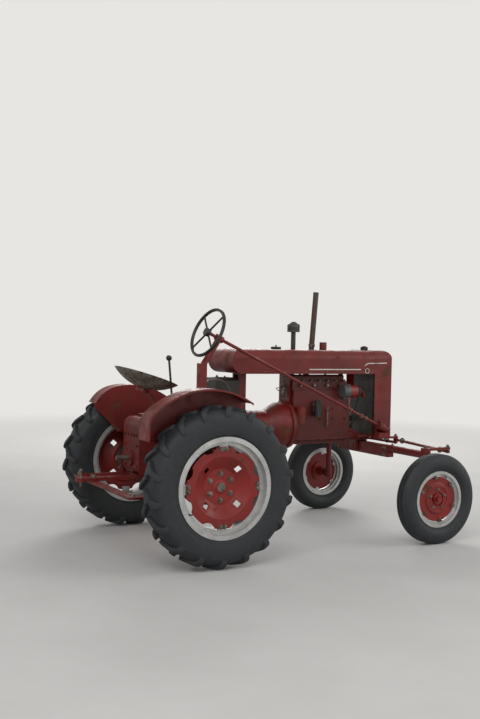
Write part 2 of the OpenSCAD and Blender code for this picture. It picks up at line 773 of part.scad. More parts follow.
module front_rim(side) {
    seat = front_rim_d / 2 - 17;
    well = seat - 18;
    color(silver) front_wheel_place(side) {
        rotate_extrude($fn = 96) rim_section(front_rim_d / 2, front_rim_w, seat, well, 4, 4, 24);
        for (k = [0 : 5]) rotate([0, 0, 39 + k * 60])
            box_between([145, -14, 4], [well - 2, 14, 14]);
    }
}

module front_disc(side) {
    color(red) front_wheel_place(side) difference() {
        union() {
            rotate_extrude($fn = 96) polygon([[55, 14], [164, 14], [164, 19], [120, 19], [100, 24], [55, 24]]);
            translate([0, 0, 2]) cylinder(h = 12, r = 80);
            translate([0, 0, -58]) cylinder(h = 88, r = 38);
            translate([0, 0, 30]) cylinder(h = 22, r = 22);
        }
        translate([0, 0, -60]) cylinder(h = 84, r = stub_d / 2 + gap);
    }
}

// Frame along the steering shaft: local Z runs up to the steering wheel
module shaft_place() {
    translate(shaft_low) rotate([0, shaft_lean, shaft_heading]) children();
}

module steering_shaft() {
    color(dark_red) shaft_place() translate([0, 0, 26]) cylinder(h = shaft_l - 26 - gap, r = steering_shaft_d / 2);
}

module steering_wheel() {
    spokes = 4;
    ring_r = (steering_wheel_d - steering_rim_d) / 2;
    color("black") shaft_place() translate([0, 0, shaft_l]) {
        rotate_extrude($fn = 96) translate([ring_r, 10]) circle(steering_rim_d / 2, $fn = 24);
        cylinder(h = 30, r = 30);
        for (k = [0 : spokes - 1]) rotate([0, 0, 45 + k * 360 / spokes]) translate([0, 0, 10]) rotate([0, 90, 0])
            cylinder(h = ring_r, r = 7, $fn = 24);
    }
}

module steering_post() {
    post_w = 56;
    elbow_z = 1300;
    bearing = shaft_top - 95 * shaft_dir;
    color(red) difference() {
        union() {
            box_between([post_x - post_w / 2, sy - 25, platform_z + gap], [post_x + post_w / 2, sy + 25, elbow_z]);
            box_between([post_x - 70, sy - 60, platform_z + gap], [post_x + 70, sy + 60, platform_z + 14]);
            rod_between([post_x, sy, elbow_z - 25], bearing, 22);
            rod_between(bearing - 30 * shaft_dir, bearing + 30 * shaft_dir, 24);
        }
        rod_between(bearing - 150 * shaft_dir, bearing + 80 * shaft_dir, steering_shaft_d / 2 + gap);
    }
}

// Frame of the seat pan: local Z is the pan's axis, origin in the middle of its rim
module seat_place() {
    translate(seat_mid) rotate([0, seat_lean, 0]) children();
}

module seat() {
    ball_r = (seat_w * seat_w / 4 + seat_deep * seat_deep) / (2 * seat_deep);
    color(iron) seat_place() difference() {
        translate([0, 0, ball_r - seat_deep]) sphere(ball_r, $fn = 96);
        translate([0, 0, ball_r - seat_deep]) sphere(ball_r - seat_t, $fn = 96);
        cylinder(h = 3 * ball_r, r = 2 * ball_r);
    }
}

// Flat spring bar that carries the seat on the right axle housing
module seat_spring() {
    foot_z = housing_z + housing_d / 2;
    bar_t = 12;
    bar_w = 64;
    pad_mid = seat_mid - (seat_deep + gap) * [sin(seat_lean), 0, cos(seat_lean)];
    low = [rear_x - 20, foot_z + 34];
    top = [pad_mid[0] + 36, pad_mid[2] - 24];
    run = top - low;
    color(red) {
        difference() {
            box_between([rear_x - 55, sy - 45, housing_z + 20], [rear_x + 45, sy + 45, foot_z + 36]);
            translate([rear_x, sy - 60, housing_z]) rotate([-90, 0, 0]) cylinder(h = 120, r = housing_d / 2 + gap);
        }
        translate([low[0], sy - bar_w / 2, low[1]]) rotate([0, -atan2(run[1], run[0]), 0])
            translate([-10, 0, -bar_t / 2]) cube([norm(run) + 14, bar_w, bar_t]);
        translate(pad_mid) rotate([0, 180 + seat_lean, 0]) cylinder(h = 26, r = 40);
    }
}

// Foot platform right of the case, on the axle housing and the side of the case
module platform() {
    back_x = rear_x + 72;
    front_end = rear_x + 600;
    left_y = 38;
    low_z = platform_z - 6;
    color(red) {
        box_between([back_x, -450, low_z], [front_end, left_y, platform_z]);
        box_between([front_end - 6, -450, low_z], [front_end, left_y, platform_z + 40]);
        for (y = [-400, -120]) {
            box_between([back_x, y - 15, low_z - 30], [front_end, y + 15, low_z + 1]);
            box_between([rear_x + housing_d / 2 + gap, y - 25, housing_z - 20], [back_x + 12, y + 25, low_z + 1]);
        }
        box_between([case_front_x - 120, left_y - 10, low_z - 40],
                    [case_front_x - 40, ey - case_w / 2 - gap, low_z + 1]);
    }
}

// Fender outline seen from the side, drawn inset by a sheet or a lip
module fender_outline(f, inset) {
    centre = [rear_x + f[1], f[2]];
    top_r = f[3];
    corner_r = f[4];
    tail_x = rear_x + f[5];
    corner_dx = tail_x + corner_r - centre[0];
    corner_dz = sqrt(pow(top_r - corner_r, 2) - pow(corner_dx, 2));
    tangent_x = centre[0] + corner_dx * top_r / (top_r - corner_r);
    far = 2 * top_r;
    intersection() {
        translate(centre) circle(top_r - inset, $fn = 128);
        union() {
            translate([tangent_x, 0]) square([far, 2 * far]);
            translate(centre + [corner_dx, corner_dz]) circle(corner_r - inset, $fn = 96);
            translate([tail_x + inset, 0]) square([far, centre[1] + corner_dz]);
        }
    }
}

// The stretch of a fender above its lower and front edges
module fender_cut(f, low_z, low_front_x) {
    front_x_end = rear_x + fender_front_dx + f[1] + 79;
    polygon([[rear_x - 900, low_z], [low_front_x, low_z], [front_x_end, f[2] + f[3] * 0.83],
             [front_x_end, 1400], [rear_x - 900, 1400]]);
}

module fender(f) {
    side = f[0];
    foot_half = 60;
    mirror([0, side < 0 ? 1 : 0, 0]) {
        along_y(fender_y - sheet_t, fender_y) intersection() {
            fender_outline(f, 0);
            fender_cut(f, fender_plate_low, rear_x + 130);
            polygon([[rear_x - 900, f[6]], [rear_x + f[5], f[6]], [rear_x - 150, fender_plate_low],
                     [rear_x + 500, fender_plate_low], [rear_x + 500, 1400], [rear_x - 900, 1400]]);
        }
        along_y(fender_y - 1, fender_y + fender_w) intersection() {
            difference() {
                fender_outline(f, 0);
                fender_outline(f, sheet_t);
            }
            fender_cut(f, f[6], rear_x + 200);
        }
        along_y(fender_y + fender_w - sheet_t, fender_y + fender_w) intersection() {
            difference() {
                fender_outline(f, 0);
                fender_outline(f, fender_lip);
            }
            fender_cut(f, f[6], rear_x + 200);
        }
        box_between([rear_x - foot_half, drop_in_y + 20, fender_plate_low],
                    [rear_x + foot_half, fender_y - 1, fender_plate_low + 12]);
        for (dx = [-foot_half, foot_half - 8])
            translate([rear_x + dx, 0, 0]) along_x(0, 8) polygon([
                [drop_in_y + 30, fender_plate_low + 11], [fender_y - 1, fender_plate_low + 11],
                [fender_y - 1, fender_plate_low + 120]]);
    }
}

module fenders() {
    color(red) for (f = FENDERS) fender(f);
}

module driver_controls() {
    lever_y = ey;
    lever_foot = [rear_x + 120, lever_y, case_top_z + 22 + gap];
    lever_top = [rear_x + 78, lever_y, 1324];
    // Columns: across, lean forward
    pedals = [[-60, 60], [-140, 60], [-330, 60]];
    color(dark_red) {
        rod_between(lever_foot + [0, 0, 4], lever_top, 8);
        translate(lever_foot) cylinder(h = 34, r1 = 38, r2 = 14);
        translate(lever_top) sphere(22);
        for (p = pedals) {
            foot = [rear_x + 420, p[0], platform_z + gap];
            pad = foot + [p[1], 0, 150];
            translate(foot) cylinder(h = 12, r = 26);
            rod_between(foot + [0, 0, 6], pad, 9);
            translate(pad) rotate([0, -50, 0]) box_between([-35, -28, -5], [35, 28, 5]);
        }
    }
}

module tank_support() {
    post_back = rear_x + 642;
    post_front = rear_x + 702;
    seat_z = hood_low_z - gap;
    color(red) {
        difference() {
            box_between([post_back, ey - 55, crank_z + 60], [post_front, ey + 55, seat_z]);
            box_between([post_back - 5, ey - 35, crank_z + 150], [post_front - 8, ey + 35, seat_z - 12]);
            translate([post_back - 10, ey, crank_z]) rotate([0, 90, 0]) cylinder(h = 100, r = 118 + gap);
        }
        difference() {
            box_between([block_x + 2, ey - 60, crankcase_top_z + gap], [block_x + 19, ey + 60, seat_z]);
            translate([block_x - 5, ey, crank_z]) rotate([0, 90, 0]) cylinder(h = 30, r = bell_r - 6 + gap);
        }
    }
}

module battery_box() {
    back = rear_x + 412;
    front = rear_x + 612;
    color("black") {
        along_x(back, front) translate([ey, 1090]) round_rect(220, 180, 30);
        difference() {
            box_between([back + 30, ey - 70, crank_z + 70], [front - 30, ey + 70, 1005]);
            translate([back, ey, crank_z]) rotate([0, 90, 0]) cylinder(h = 300, r = 118 + gap);
        }
    }
}

transmission_case();
torque_tube();
final_drives();
pto_stub();
drawbar();
rear_axle(-1);  // rear_axle_right
rear_axle(1);  // rear_axle_left
rear_disc(-1);  // rear_disc_right
rear_disc(1);  // rear_disc_left
rear_rim(-1);  // rear_rim_right
rear_rim(1);  // rear_rim_left
rear_tyre(-1);  // rear_tyre_right
rear_tyre(1);  // rear_tyre_left
engine_block();
cylinder_head();
manifold();
exhaust_pipe();
air_cleaner();
generator();
oil_filter();
ignition_unit();
fan();
fan_belt();
radiator();
hood();
fuel_tank();
grille();
filler_caps();
front_bolster();
front_axle();
knuckle(-1);  // knuckle_right
knuckle(1);  // knuckle_left
pitman_arm();
tie_rod(-1, pitman_z - 12);  // tie_rod_right
tie_rod(1, pitman_z - 34);  // tie_rod_left
front_disc(-1);  // front_disc_right
front_disc(1);  // front_disc_left
front_rim(-1);  // front_rim_right
front_rim(1);  // front_rim_left
front_tyre(-1);  // front_tyre_right
front_tyre(1);  // front_tyre_left
steering_shaft();
steering_wheel();
steering_post();
seat();
seat_spring();
platform();
fenders();
driver_controls();
tank_support();
battery_box();
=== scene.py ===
"""The looks of a weathered row-crop tractor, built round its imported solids.

Lengths are in metres. X points forward, Y to the tractor's left and Z up, with the
origin on the ground under the middle of the tractor.
"""

import math

import bpy
from bpy.props import FloatProperty, FloatVectorProperty, IntProperty, PointerProperty
from mathutils import Matrix, Vector


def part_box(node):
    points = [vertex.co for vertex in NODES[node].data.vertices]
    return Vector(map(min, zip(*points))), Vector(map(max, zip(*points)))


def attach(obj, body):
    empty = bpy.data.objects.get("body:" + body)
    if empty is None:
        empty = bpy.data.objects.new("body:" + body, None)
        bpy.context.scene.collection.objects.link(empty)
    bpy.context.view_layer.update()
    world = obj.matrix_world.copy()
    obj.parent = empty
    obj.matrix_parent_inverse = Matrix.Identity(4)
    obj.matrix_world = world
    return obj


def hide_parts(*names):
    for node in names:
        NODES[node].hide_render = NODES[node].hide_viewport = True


bl_info = {
    "name": "Row-crop tractor looks",
    "version": (1, 1, 0),
    "blender": (4, 2, 0),
    "location": "3D View > Sidebar > Tractor",
    "description": "Paint, tyres, trim and stage for the row-crop tractor",
    "category": "Object",
}

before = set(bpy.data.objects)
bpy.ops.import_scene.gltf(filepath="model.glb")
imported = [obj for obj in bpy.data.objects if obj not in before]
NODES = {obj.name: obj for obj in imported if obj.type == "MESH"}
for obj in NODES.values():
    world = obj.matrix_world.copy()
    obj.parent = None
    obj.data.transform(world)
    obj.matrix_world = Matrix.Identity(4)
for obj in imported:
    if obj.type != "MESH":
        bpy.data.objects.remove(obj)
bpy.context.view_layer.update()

SIDES = ("right", "left")
SIGN = {"right": -1, "left": 1}
REAR_AXLE_Z = 0.525
FRONT_AXLE_Z = 0.331
# Middle planes of the engine and of the driver's place
ENGINE_Y = 0.215
DRIVER_Y = -0.215
HOOD_HALF = 0.2
# Height of the crankshaft and of the gearbox's main shaft
CRANK_Z = 0.805
DOWN = Vector((0.0, 0.0, -1.0))
UP = Vector((0.0, 0.0, 1.0))
AHEAD = Vector((1.0, 0.0, 0.0))
ASTERN = Vector((-1.0, 0.0, 0.0))
LEFTWARD = Vector((0.0, 1.0, 0.0))
RIGHTWARD = Vector((0.0, -1.0, 0.0))


def hub_of(tyre, height):
    """Middle of a wheel, from its tyre's box and the height of its axle."""
    low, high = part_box(tyre)
    return Vector(((low.x + high.x) / 2, (low.y + high.y) / 2, height))


# Middle of each left wheel; the right one has the opposite Y
REAR_HUB = hub_of("rear_tyre_left", REAR_AXLE_Z)
FRONT_HUB = hub_of("front_tyre_left", FRONT_AXLE_Z)


def colour_property(name, description, default):
    return FloatVectorProperty(
        name=name, description=description, subtype="COLOR", size=3, min=0.0, max=1.0,
        default=default,
    )


class TractorFinish(bpy.types.PropertyGroup):
    """Colours that a user would change."""

    red: colour_property(
        "Red paint", "Colour of the weathered red paint", (0.130, 0.0066, 0.0046)
    )
    rubber: colour_property("Rubber", "Colour of the tyres", (0.0088, 0.0108, 0.0130))
    silver: colour_property("Rim silver", "Colour of the painted rims", (0.50, 0.50, 0.49))
    iron: colour_property(
        "Bare iron", "Colour of unpainted iron and steel", (0.15, 0.13, 0.11)
    )
    black: colour_property(
        "Black parts", "Colour of the black painted parts", (0.014, 0.013, 0.012)
    )
    stripe: colour_property("Stripes", "Colour of the hood's stripes", (0.66, 0.62, 0.55))


class TractorSizes(bpy.types.PropertyGroup):
    """Sizes that a user would change."""

    rear_lugs: IntProperty(
        name="Rear lugs",
        description="Bars on each side of a rear tyre",
        default=18,
        min=12,
        max=24,
    )
    lug_width: FloatProperty(
        name="Lug width",
        description="Width of a rear tyre's bar along the tread",
        default=0.038,
        min=0.028,
        max=0.046,
        unit="LENGTH",
    )
    stripe_width: FloatProperty(
        name="Stripe width",
        description="Width of the hood's stripes",
        default=0.0075,
        min=0.004,
        max=0.015,
        unit="LENGTH",
    )
    wear: FloatProperty(
        name="Wear",
        description="How much of the paint has gone to rust",
        default=0.5,
        min=0.0,
        max=1.0,
        subtype="FACTOR",
    )


def finish_settings():
    return bpy.context.scene.tractor_finish


def size_settings():
    return bpy.context.scene.tractor_sizes


# Materials


class Wiring:
    """A material's nodes, with the few patterns that every finish is made of."""

    def __init__(self, name):
        self.material = bpy.data.materials.new(name)
        self.material.use_nodes = True
        self.nodes = self.material.node_tree.nodes
        self.links = self.material.node_tree.links
        self.shader = next(n for n in self.nodes if n.type == "BSDF_PRINCIPLED")
        self.place = self.nodes.new("ShaderNodeTexCoord").outputs["Object"]

    def noise(self, scale, detail=6.0, rough=0.55, distortion=0.0, stretch=None):
        """Cloudy noise, drawn out along an axis where a stretch is given."""
        node = self.nodes.new("ShaderNodeTexNoise")
        node.inputs["Scale"].default_value = scale
        node.inputs["Detail"].default_value = detail
        node.inputs["Roughness"].default_value = rough
        node.inputs["Distortion"].default_value = distortion
        place = self.place
        if stretch is not None:
            mapping = self.nodes.new("ShaderNodeMapping")
            mapping.inputs["Scale"].default_value = stretch
            self.links.new(place, mapping.inputs["Vector"])
            place = mapping.outputs["Vector"]
        self.links.new(place, node.inputs["Vector"])
        return node.outputs["Fac"]

    def cells(self, scale):
        """Distance to the edges of a pattern of cells, for cracks."""
        node = self.nodes.new("ShaderNodeTexVoronoi")
        node.feature = "DISTANCE_TO_EDGE"
        node.inputs["Scale"].default_value = scale
        self.links.new(self.place, node.inputs["Vector"])
        return node.outputs["Distance"]

    def ramp(self, value, low, high, first=(0, 0, 0), last=(1, 1, 1)):
        """Turns a value between low and high into a blend of two colours."""
        node = self.nodes.new("ShaderNodeValToRGB")
        node.color_ramp.elements[0].position = low
        node.color_ramp.elements[1].position = high
        node.color_ramp.elements[0].color = (*first, 1.0)
        node.color_ramp.elements[1].color = (*last, 1.0)
        self.links.new(value, node.inputs["Fac"])
        return node.outputs["Color"]

    def level(self, value, low, high, first=0.0, last=1.0):
        """Turns a value between low and high into a plain number's range."""
        return self.ramp(value, low, high, (first,) * 3, (last,) * 3)

    def mixed(self, share, first, second):
        """A blend of two colours or sockets by a share."""
        node = self.nodes.new("ShaderNodeMix")
        node.data_type = "RGBA"
        self.links.new(share, node.inputs[0])
        sockets = [s for s in node.inputs if s.type == "RGBA"]
        for socket, colour in zip(sockets, (first, second)):
            if isinstance(colour, tuple):
                socket.default_value = (*colour, 1.0)
            else:
                self.links.new(colour, socket)
        return next(s for s in node.outputs if s.type == "RGBA")

    def maths(self, operation, first, second):
        """A sum, product or other reckoning with two sockets or numbers."""
        node = self.nodes.new("ShaderNodeMath")
        node.operation = operation
        for socket, value in zip(node.inputs, (first, second)):
            if isinstance(value, float):
                socket.default_value = value
            else:
                self.links.new(value, socket)
        return node.outputs["Value"]

    def along(self, axis):
        """How far a point lies along X, Y or Z."""
        node = self.nodes.new("ShaderNodeSeparateXYZ")
        self.links.new(self.place, node.inputs["Vector"])
        return node.outputs[axis]

    def facing_up(self):
        """How far the surface faces the sky, from -1 to 1."""
        geometry = self.nodes.new("ShaderNodeNewGeometry")
        node = self.nodes.new("ShaderNodeSeparateXYZ")
        self.links.new(geometry.outputs["Normal"], node.inputs["Vector"])
        return node.outputs["Z"]

    def bump(self, height, strength, distance, below=None):
        node = self.nodes.new("ShaderNodeBump")
        node.inputs["Strength"].default_value = strength
        node.inputs["Distance"].default_value = distance
        self.links.new(height, node.inputs["Height"])
        if below is not None:
            self.links.new(below, node.inputs["Normal"])
        return node.outputs["Normal"]

    def feed(self, value, socket):
        self.links.new(value, self.shader.inputs[socket])


def scaled(colour, factor):
    return tuple(min(1.0, c * factor) for c in colour)


RUST_DARK = (0.045, 0.016, 0.008)
RUST_LIGHT = (0.135, 0.048, 0.019)
DUST = (0.115, 0.085, 0.058)
GREASE = (0.012, 0.009, 0.007)
TYRE_DUST = (0.07, 0.062, 0.05)
# How rough bare rust is, from 0 to 1, under enamel of one colour and of two
RUST_ROUGH = 0.86
TWO_TONE_RUST_ROUGH = 0.84
# How strongly enamel mirrors its surroundings; 0.5 is the shader's own value
ENAMEL_SHINE = 0.4


def painted(wiring, colour, rust, dirt):
    """Old enamel's colour: lighter on upward faces as a painted highlight, chipped through to
    rust, dusty and streaked.
    """
    fade = wiring.noise(2.6, 5.0, 0.6)
    blotch = wiring.noise(11.0, 9.0, 0.68, 0.5)
    chips = wiring.noise(46.0, 8.0, 0.72, 0.3)
    speck = wiring.noise(150.0, 4.0, 0.6)
    streak = wiring.noise(5.0, 6.0, 0.6, 0.0, (7.0, 7.0, 0.8))
    skin = wiring.mixed(
        wiring.level(fade, 0.36, 0.68), scaled(colour, 0.74), scaled(colour, 1.32)
    )
    # Painted highlight: upward faces lighten up to 0.3 of the way towards a paler red, as if lit
    # from above
    lit_from_above = wiring.mixed(
        wiring.level(wiring.facing_up(), 0.35, 1.0, 0.0, 0.3), skin, scaled(colour, 1.7)
    )
    run = wiring.mixed(
        wiring.level(streak, 0.56, 0.78, 0.0, 0.55), lit_from_above, scaled(colour, 0.42)
    )
    rusty = wiring.mixed(wiring.level(speck, 0.35, 0.7), RUST_DARK, RUST_LIGHT)
    patches = wiring.level(blotch, 0.66 - 0.09 * rust, 0.7 - 0.06 * rust)
    flakes = wiring.level(chips, 0.68 - 0.06 * rust, 0.7 - 0.05 * rust)
    bare = wiring.maths("MAXIMUM", patches, flakes)
    worn = wiring.mixed(bare, run, rusty)
    settled = wiring.level(wiring.noise(7.0, 10.0, 0.72), 0.42, 0.9, 0.0, dirt)
    lying = wiring.level(wiring.facing_up(), 0.1, 0.95, 0.35, 1.0)
    dusty = wiring.mixed(wiring.maths("MULTIPLY", settled, lying), worn, DUST)
    return dusty, bare, blotch, speck


def paint_material(name, colour, rust=1.0, dirt=0.26, rough=0.44):
    """Old enamel over iron, with the edges of its chips and its orange peel."""
    wiring = Wiring(name)
    rust = rust * 2.0 * size_settings().wear
    dusty, bare, blotch, speck = painted(wiring, colour, rust, dirt)
    wiring.feed(dusty, "Base Color")
    dull = wiring.level(blotch, 0.32, 0.72, rough - 0.1, rough + 0.24)
    wiring.feed(wiring.mixed(bare, dull, (RUST_ROUGH,) * 3), "Roughness")
    peel = wiring.bump(speck, 0.09, 0.001)
    dents = wiring.bump(blotch, 0.14, 0.004, peel)
    edge = wiring.bump(wiring.maths("SUBTRACT", 1.0, bare), 0.3, 0.0006, dents)
    wiring.shader.inputs["Specular IOR Level"].default_value = ENAMEL_SHINE
    wiring.feed(edge, "Normal")
    return wiring.material


def two_tone_material(name, axis, middle, low_colour, high_colour):
    """Enamel of two colours that meet along an axis."""
    wiring = Wiring(name)
    low, bare, blotch, speck = painted(wiring, low_colour, 0.8, 0.45)
    high = painted(wiring, high_colour, 0.8, 0.45)[0]
    past = wiring.maths("GREATER_THAN", wiring.along(axis), middle)
    wiring.feed(wiring.mixed(past, low, high), "Base Color")
    dull = wiring.level(blotch, 0.32, 0.72, 0.34, 0.66)
    wiring.feed(wiring.mixed(bare, dull, (TWO_TONE_RUST_ROUGH,) * 3), "Roughness")
    wiring.feed(wiring.bump(speck, 0.12, 0.001), "Normal")
    return wiring.material


def iron_material(name, colour, rust=0.6, metal=0.5):
    """Cast or turned iron with a brown skin, grain and greasy smears."""
    wiring = Wiring(name)
    broad = wiring.noise(9.0, 8.0, 0.6)
    grain = wiring.noise(240.0, 3.0, 0.5)
    scale = wiring.noise(38.0, 8.0, 0.7, 0.4)
    base = wiring.mixed(
        wiring.level(broad, 0.4, 0.65), scaled(colour, 0.62), scaled(colour, 1.3)
    )
    brown = wiring.mixed(wiring.level(grain, 0.35, 0.7), RUST_DARK, RUST_LIGHT)
    rusty = wiring.mixed(
        wiring.level(scale, 0.6 - 0.2 * rust, 0.72 - 0.1 * rust), base, brown
    )
    oily = wiring.mixed(
        wiring.level(wiring.noise(4.5, 7.0, 0.65), 0.56, 0.74, 0.0, 0.75), rusty, GREASE
    )
    wiring.feed(oily, "Base Color")
    wiring.shader.inputs["Metallic"].default_value = metal
    wiring.feed(wiring.level(scale, 0.3, 0.75, 0.36, 0.78), "Roughness")
    cast = wiring.bump(scale, 0.18, 0.0016)
    wiring.feed(wiring.bump(grain, 0.2, 0.0008, cast), "Normal")
    return wiring.material


def silver_material(name, colour):
    """Aluminium paint on a rolled rim, with road dust and thin rust runs."""
    wiring = Wiring(name)
    broad = wiring.noise(7.0, 8.0, 0.62)
    fine = wiring.noise(64.0, 6.0, 0.66, 0.2)
    base = wiring.mixed(wiring.level(broad, 0.42, 0.68), colour, scaled(colour, 0.7))
    pitted = wiring.mixed(wiring.level(fine, 0.62, 0.7, 0.0, 0.8), base, RUST_LIGHT)
    dusty = wiring.mixed(
        wiring.level(wiring.noise(16.0, 9.0, 0.7), 0.52, 0.85, 0.0, 0.5), pitted, DUST
    )
    wiring.feed(dusty, "Base Color")
    wiring.shader.inputs["Metallic"].default_value = 0.5
    wiring.feed(wiring.level(broad, 0.3, 0.8, 0.26, 0.52), "Roughness")
    wiring.feed(wiring.bump(fine, 0.1, 0.001), "Normal")
    return wiring.material


def rubber_material(name, colour, dust=0.42):
    """Aged rubber: dull, scuffed and dusty, with fine weather cracks."""
    wiring = Wiring(name)
    broad = wiring.noise(8.0, 8.0, 0.65)
    fine = wiring.noise(170.0, 4.0, 0.6)
    crack = wiring.cells(85.0)
    base = wiring.mixed(wiring.level(broad, 0.38, 0.7), colour, scaled(colour, 2.0))
    cracked = wiring.mixed(wiring.level(crack, 0.0, 0.05), scaled(colour, 0.4), base)
    dusty = wiring.mixed(
        wiring.level(wiring.noise(17.0, 10.0, 0.76), 0.5, 0.86, 0.0, dust),
        cracked,
        TYRE_DUST,
    )
    wiring.feed(dusty, "Base Color")
    wiring.feed(wiring.level(broad, 0.3, 0.8, 0.55, 0.84), "Roughness")
    low = wiring.bump(crack, 0.14, 0.0008)
    scuffed = wiring.bump(wiring.noise(30.0, 8.0, 0.7), 0.16, 0.002, low)
    wiring.feed(wiring.bump(fine, 0.18, 0.0008, scuffed), "Normal")
    return wiring.material


def stripe_material(name, colour):
    """Hand-laid paint, thin in places, with grime in its brush marks."""
    wiring = Wiring(name)
    thin = wiring.noise(60.0, 7.0, 0.7)
    grime = wiring.mixed(wiring.level(thin, 0.52, 0.72, 0.0, 0.8), colour, DUST)
    wiring.feed(grime, "Base Color")
    wiring.feed(wiring.level(thin, 0.3, 0.7, 0.4, 0.65), "Roughness")
    wiring.feed(wiring.bump(thin, 0.1, 0.0006), "Normal")
    return wiring.material


def ceramic_material(name):
    """Glazed white clay with sooty crazing."""
    wiring = Wiring(name)
    craze = wiring.cells(420.0)
    smoke = wiring.noise(120.0, 6.0, 0.7)
    glaze = wiring.mixed(
        wiring.level(smoke, 0.45, 0.75, 0.0, 0.6), (0.72, 0.70, 0.66), (0.10, 0.08, 0.06)
    )
    wiring.feed(
        wiring.mixed(wiring.level(craze, 0.0, 0.04), (0.2, 0.17, 0.14), glaze), "Base Color"
    )
    wiring.feed(wiring.level(smoke, 0.3, 0.8, 0.16, 0.5), "Roughness")
    wiring.feed(wiring.bump(craze, 0.05, 0.0002), "Normal")
    return wiring.material


def make_materials():
    """All the finishes by name."""
    finish = finish_settings()
    red = tuple(finish.red)
    iron = tuple(finish.iron)
    black = tuple(finish.black)
    rubber = tuple(finish.rubber)
    return {
        "red": paint_material("weathered_red", red),
        # A painted shade: the red at 0.62 of its brightness for the engine under the hood, with
        # more rust and dust
        "dark_red": paint_material("grimy_red_in_painted_shade", scaled(red, 0.62), 1.2, 0.42, 0.44),
        # Painted sunlight: the red at 1.5 times its brightness for the wheel discs and the fan,
        # with less rust
        "sunlit_red": paint_material("red_in_painted_sun", scaled(red, 1.5), 0.7, 0.25, 0.4),
        "black": paint_material("black_enamel", black, 0.7, 0.35, 0.36),
        "wheel_black": paint_material("black_grip", scaled(black, 0.9), 0.1, 0.25, 0.3),
        "core": iron_material("soldered_core", scaled(iron, 0.4), 0.3, 0.3),
        "iron": iron_material("bare_iron_skin", iron),
        "nut": iron_material("weathered_nut", scaled(iron, 1.5), 0.75, 0.6),
        "pipe": iron_material("heat_browned_pipe", scaled(iron, 0.35), 0.9, 0.3),
        "copper": iron_material("dull_copper", (0.30, 0.13, 0.07), 0.1, 0.8),
        "silver": silver_material("aluminium_paint", tuple(finish.silver)),
        "rubber": rubber_material("aged_rubber", rubber),
        "belt": rubber_material("belt_cloth", scaled(rubber, 1.4), 0.3),
        "seat": iron_material("worn_seat_pan", scaled(iron, 1.5), 0.7, 0.6),
        "stripe": stripe_material("stripe_paint", tuple(finish.stripe)),
        "ceramic": ceramic_material("plug_clay"),
        "generator": two_tone_material(
            "generator_enamel", "X", 0.835, (0.06, 0.062, 0.064), scaled(red, 1.3)
        ),
        "cleaner": two_tone_material("cleaner_enamel", "Z", 1.41, red, black),
    }


# Filled by the finishes operator
MATERIALS = {}

# Finish of each solid, by the finish's name
NODE_FINISH = {
    "red": (
        "transmission_case", "torque_tube", "final_drives", "drawbar",
        "hood", "fuel_tank", "fenders", "front_bolster", "front_axle",
        "knuckle_right", "knuckle_left", "pitman_arm", "tie_rod_right",
        "tie_rod_left", "steering_post", "steering_shaft", "platform",
        "tank_support", "seat_spring", "oil_filter", "grille",
    ),
    # The engine's block and head take the red painted darker, a painted shade under the hood
    "dark_red": ("engine_block", "cylinder_head"),
    # The wheel discs and the fan take the red painted lighter, painted sunlight
    "sunlit_red": (
        "rear_disc_right", "rear_disc_left", "front_disc_right", "front_disc_left",
        "fan",
    ),
    "black": ("ignition_unit", "filler_caps", "driver_controls", "battery_box"),
    "core": ("radiator",),
    "generator": ("generator",),
    "cleaner": ("air_cleaner",),
    "wheel_black": ("steering_wheel",),
    "iron": ("pto_stub", "rear_axle_right", "rear_axle_left"),
    "pipe": ("exhaust_pipe", "manifold"),
    "silver": ("rear_rim_right", "rear_rim_left", "front_rim_right", "front_rim_left"),
    "rubber": ("rear_tyre_right", "rear_tyre_left", "front_tyre_right",
               "front_tyre_left"),
    "belt": ("fan_belt",),
    "seat": ("seat",),
}


def finish_node(node, key):
    mesh = NODES[node].data
    mesh.materials.clear()
    mesh.materials.append(MATERIALS[key])


# Modelling helpers


def only(obj):
    """Selects one object alone and makes it active."""
    bpy.ops.object.select_all(action="DESELECT")
    obj.select_set(True)
    bpy.context.view_layer.objects.active = obj


def started():
    """The object that the last primitive operator made, alone in the selection."""
    return bpy.context.view_layer.objects.active


def settle(obj):
    """Puts the object at the origin, with its place in its mesh."""
    only(obj)
    bpy.ops.object.transform_apply(location=True, rotation=True, scale=True)


def pick(obj, test, kind="VERT"):
    """In edit mode, selects the points, edges or faces whose middle passes a test."""
    bpy.ops.object.mode_set(mode="OBJECT")
    mesh = obj.data
    for group in (mesh.vertices, mesh.edges, mesh.polygons):
        group.foreach_set("select", [False] * len(group))
    if kind == "VERT":
        for vertex in mesh.vertices:
            vertex.select = bool(test(vertex.co))
    elif kind == "FACE":
        for face in mesh.polygons:
            face.select = bool(test(face.center, face.normal))
    else:
        for edge in mesh.edges:
            ends = [mesh.vertices[i].co for i in edge.vertices]
            edge.select = bool(test((ends[0] + ends[1]) / 2, ends[1] - ends[0]))
    modes = (kind == "VERT", kind == "EDGE", kind == "FACE")
    bpy.context.tool_settings.mesh_select_mode = modes
    bpy.ops.object.mode_set(mode="EDIT")


def use_modifier(obj, kind, **values):
    """Adds a modifier, sets it up and applies it."""
    only(obj)
    modifier = obj.modifiers.new(kind.lower(), kind)
    for key, value in values.items():
        setattr(modifier, key, value)
    bpy.ops.object.modifier_apply(modifier=modifier.name)


def copy_of(obj, matrix):
    """A copy with its own mesh, moved by a matrix."""
    twin = obj.copy()
    twin.data = obj.data.copy()
    bpy.context.scene.collection.objects.link(twin)
    twin.data.transform(matrix)
    if matrix.determinant() < 0:
        twin.data.flip_normals()
    return twin


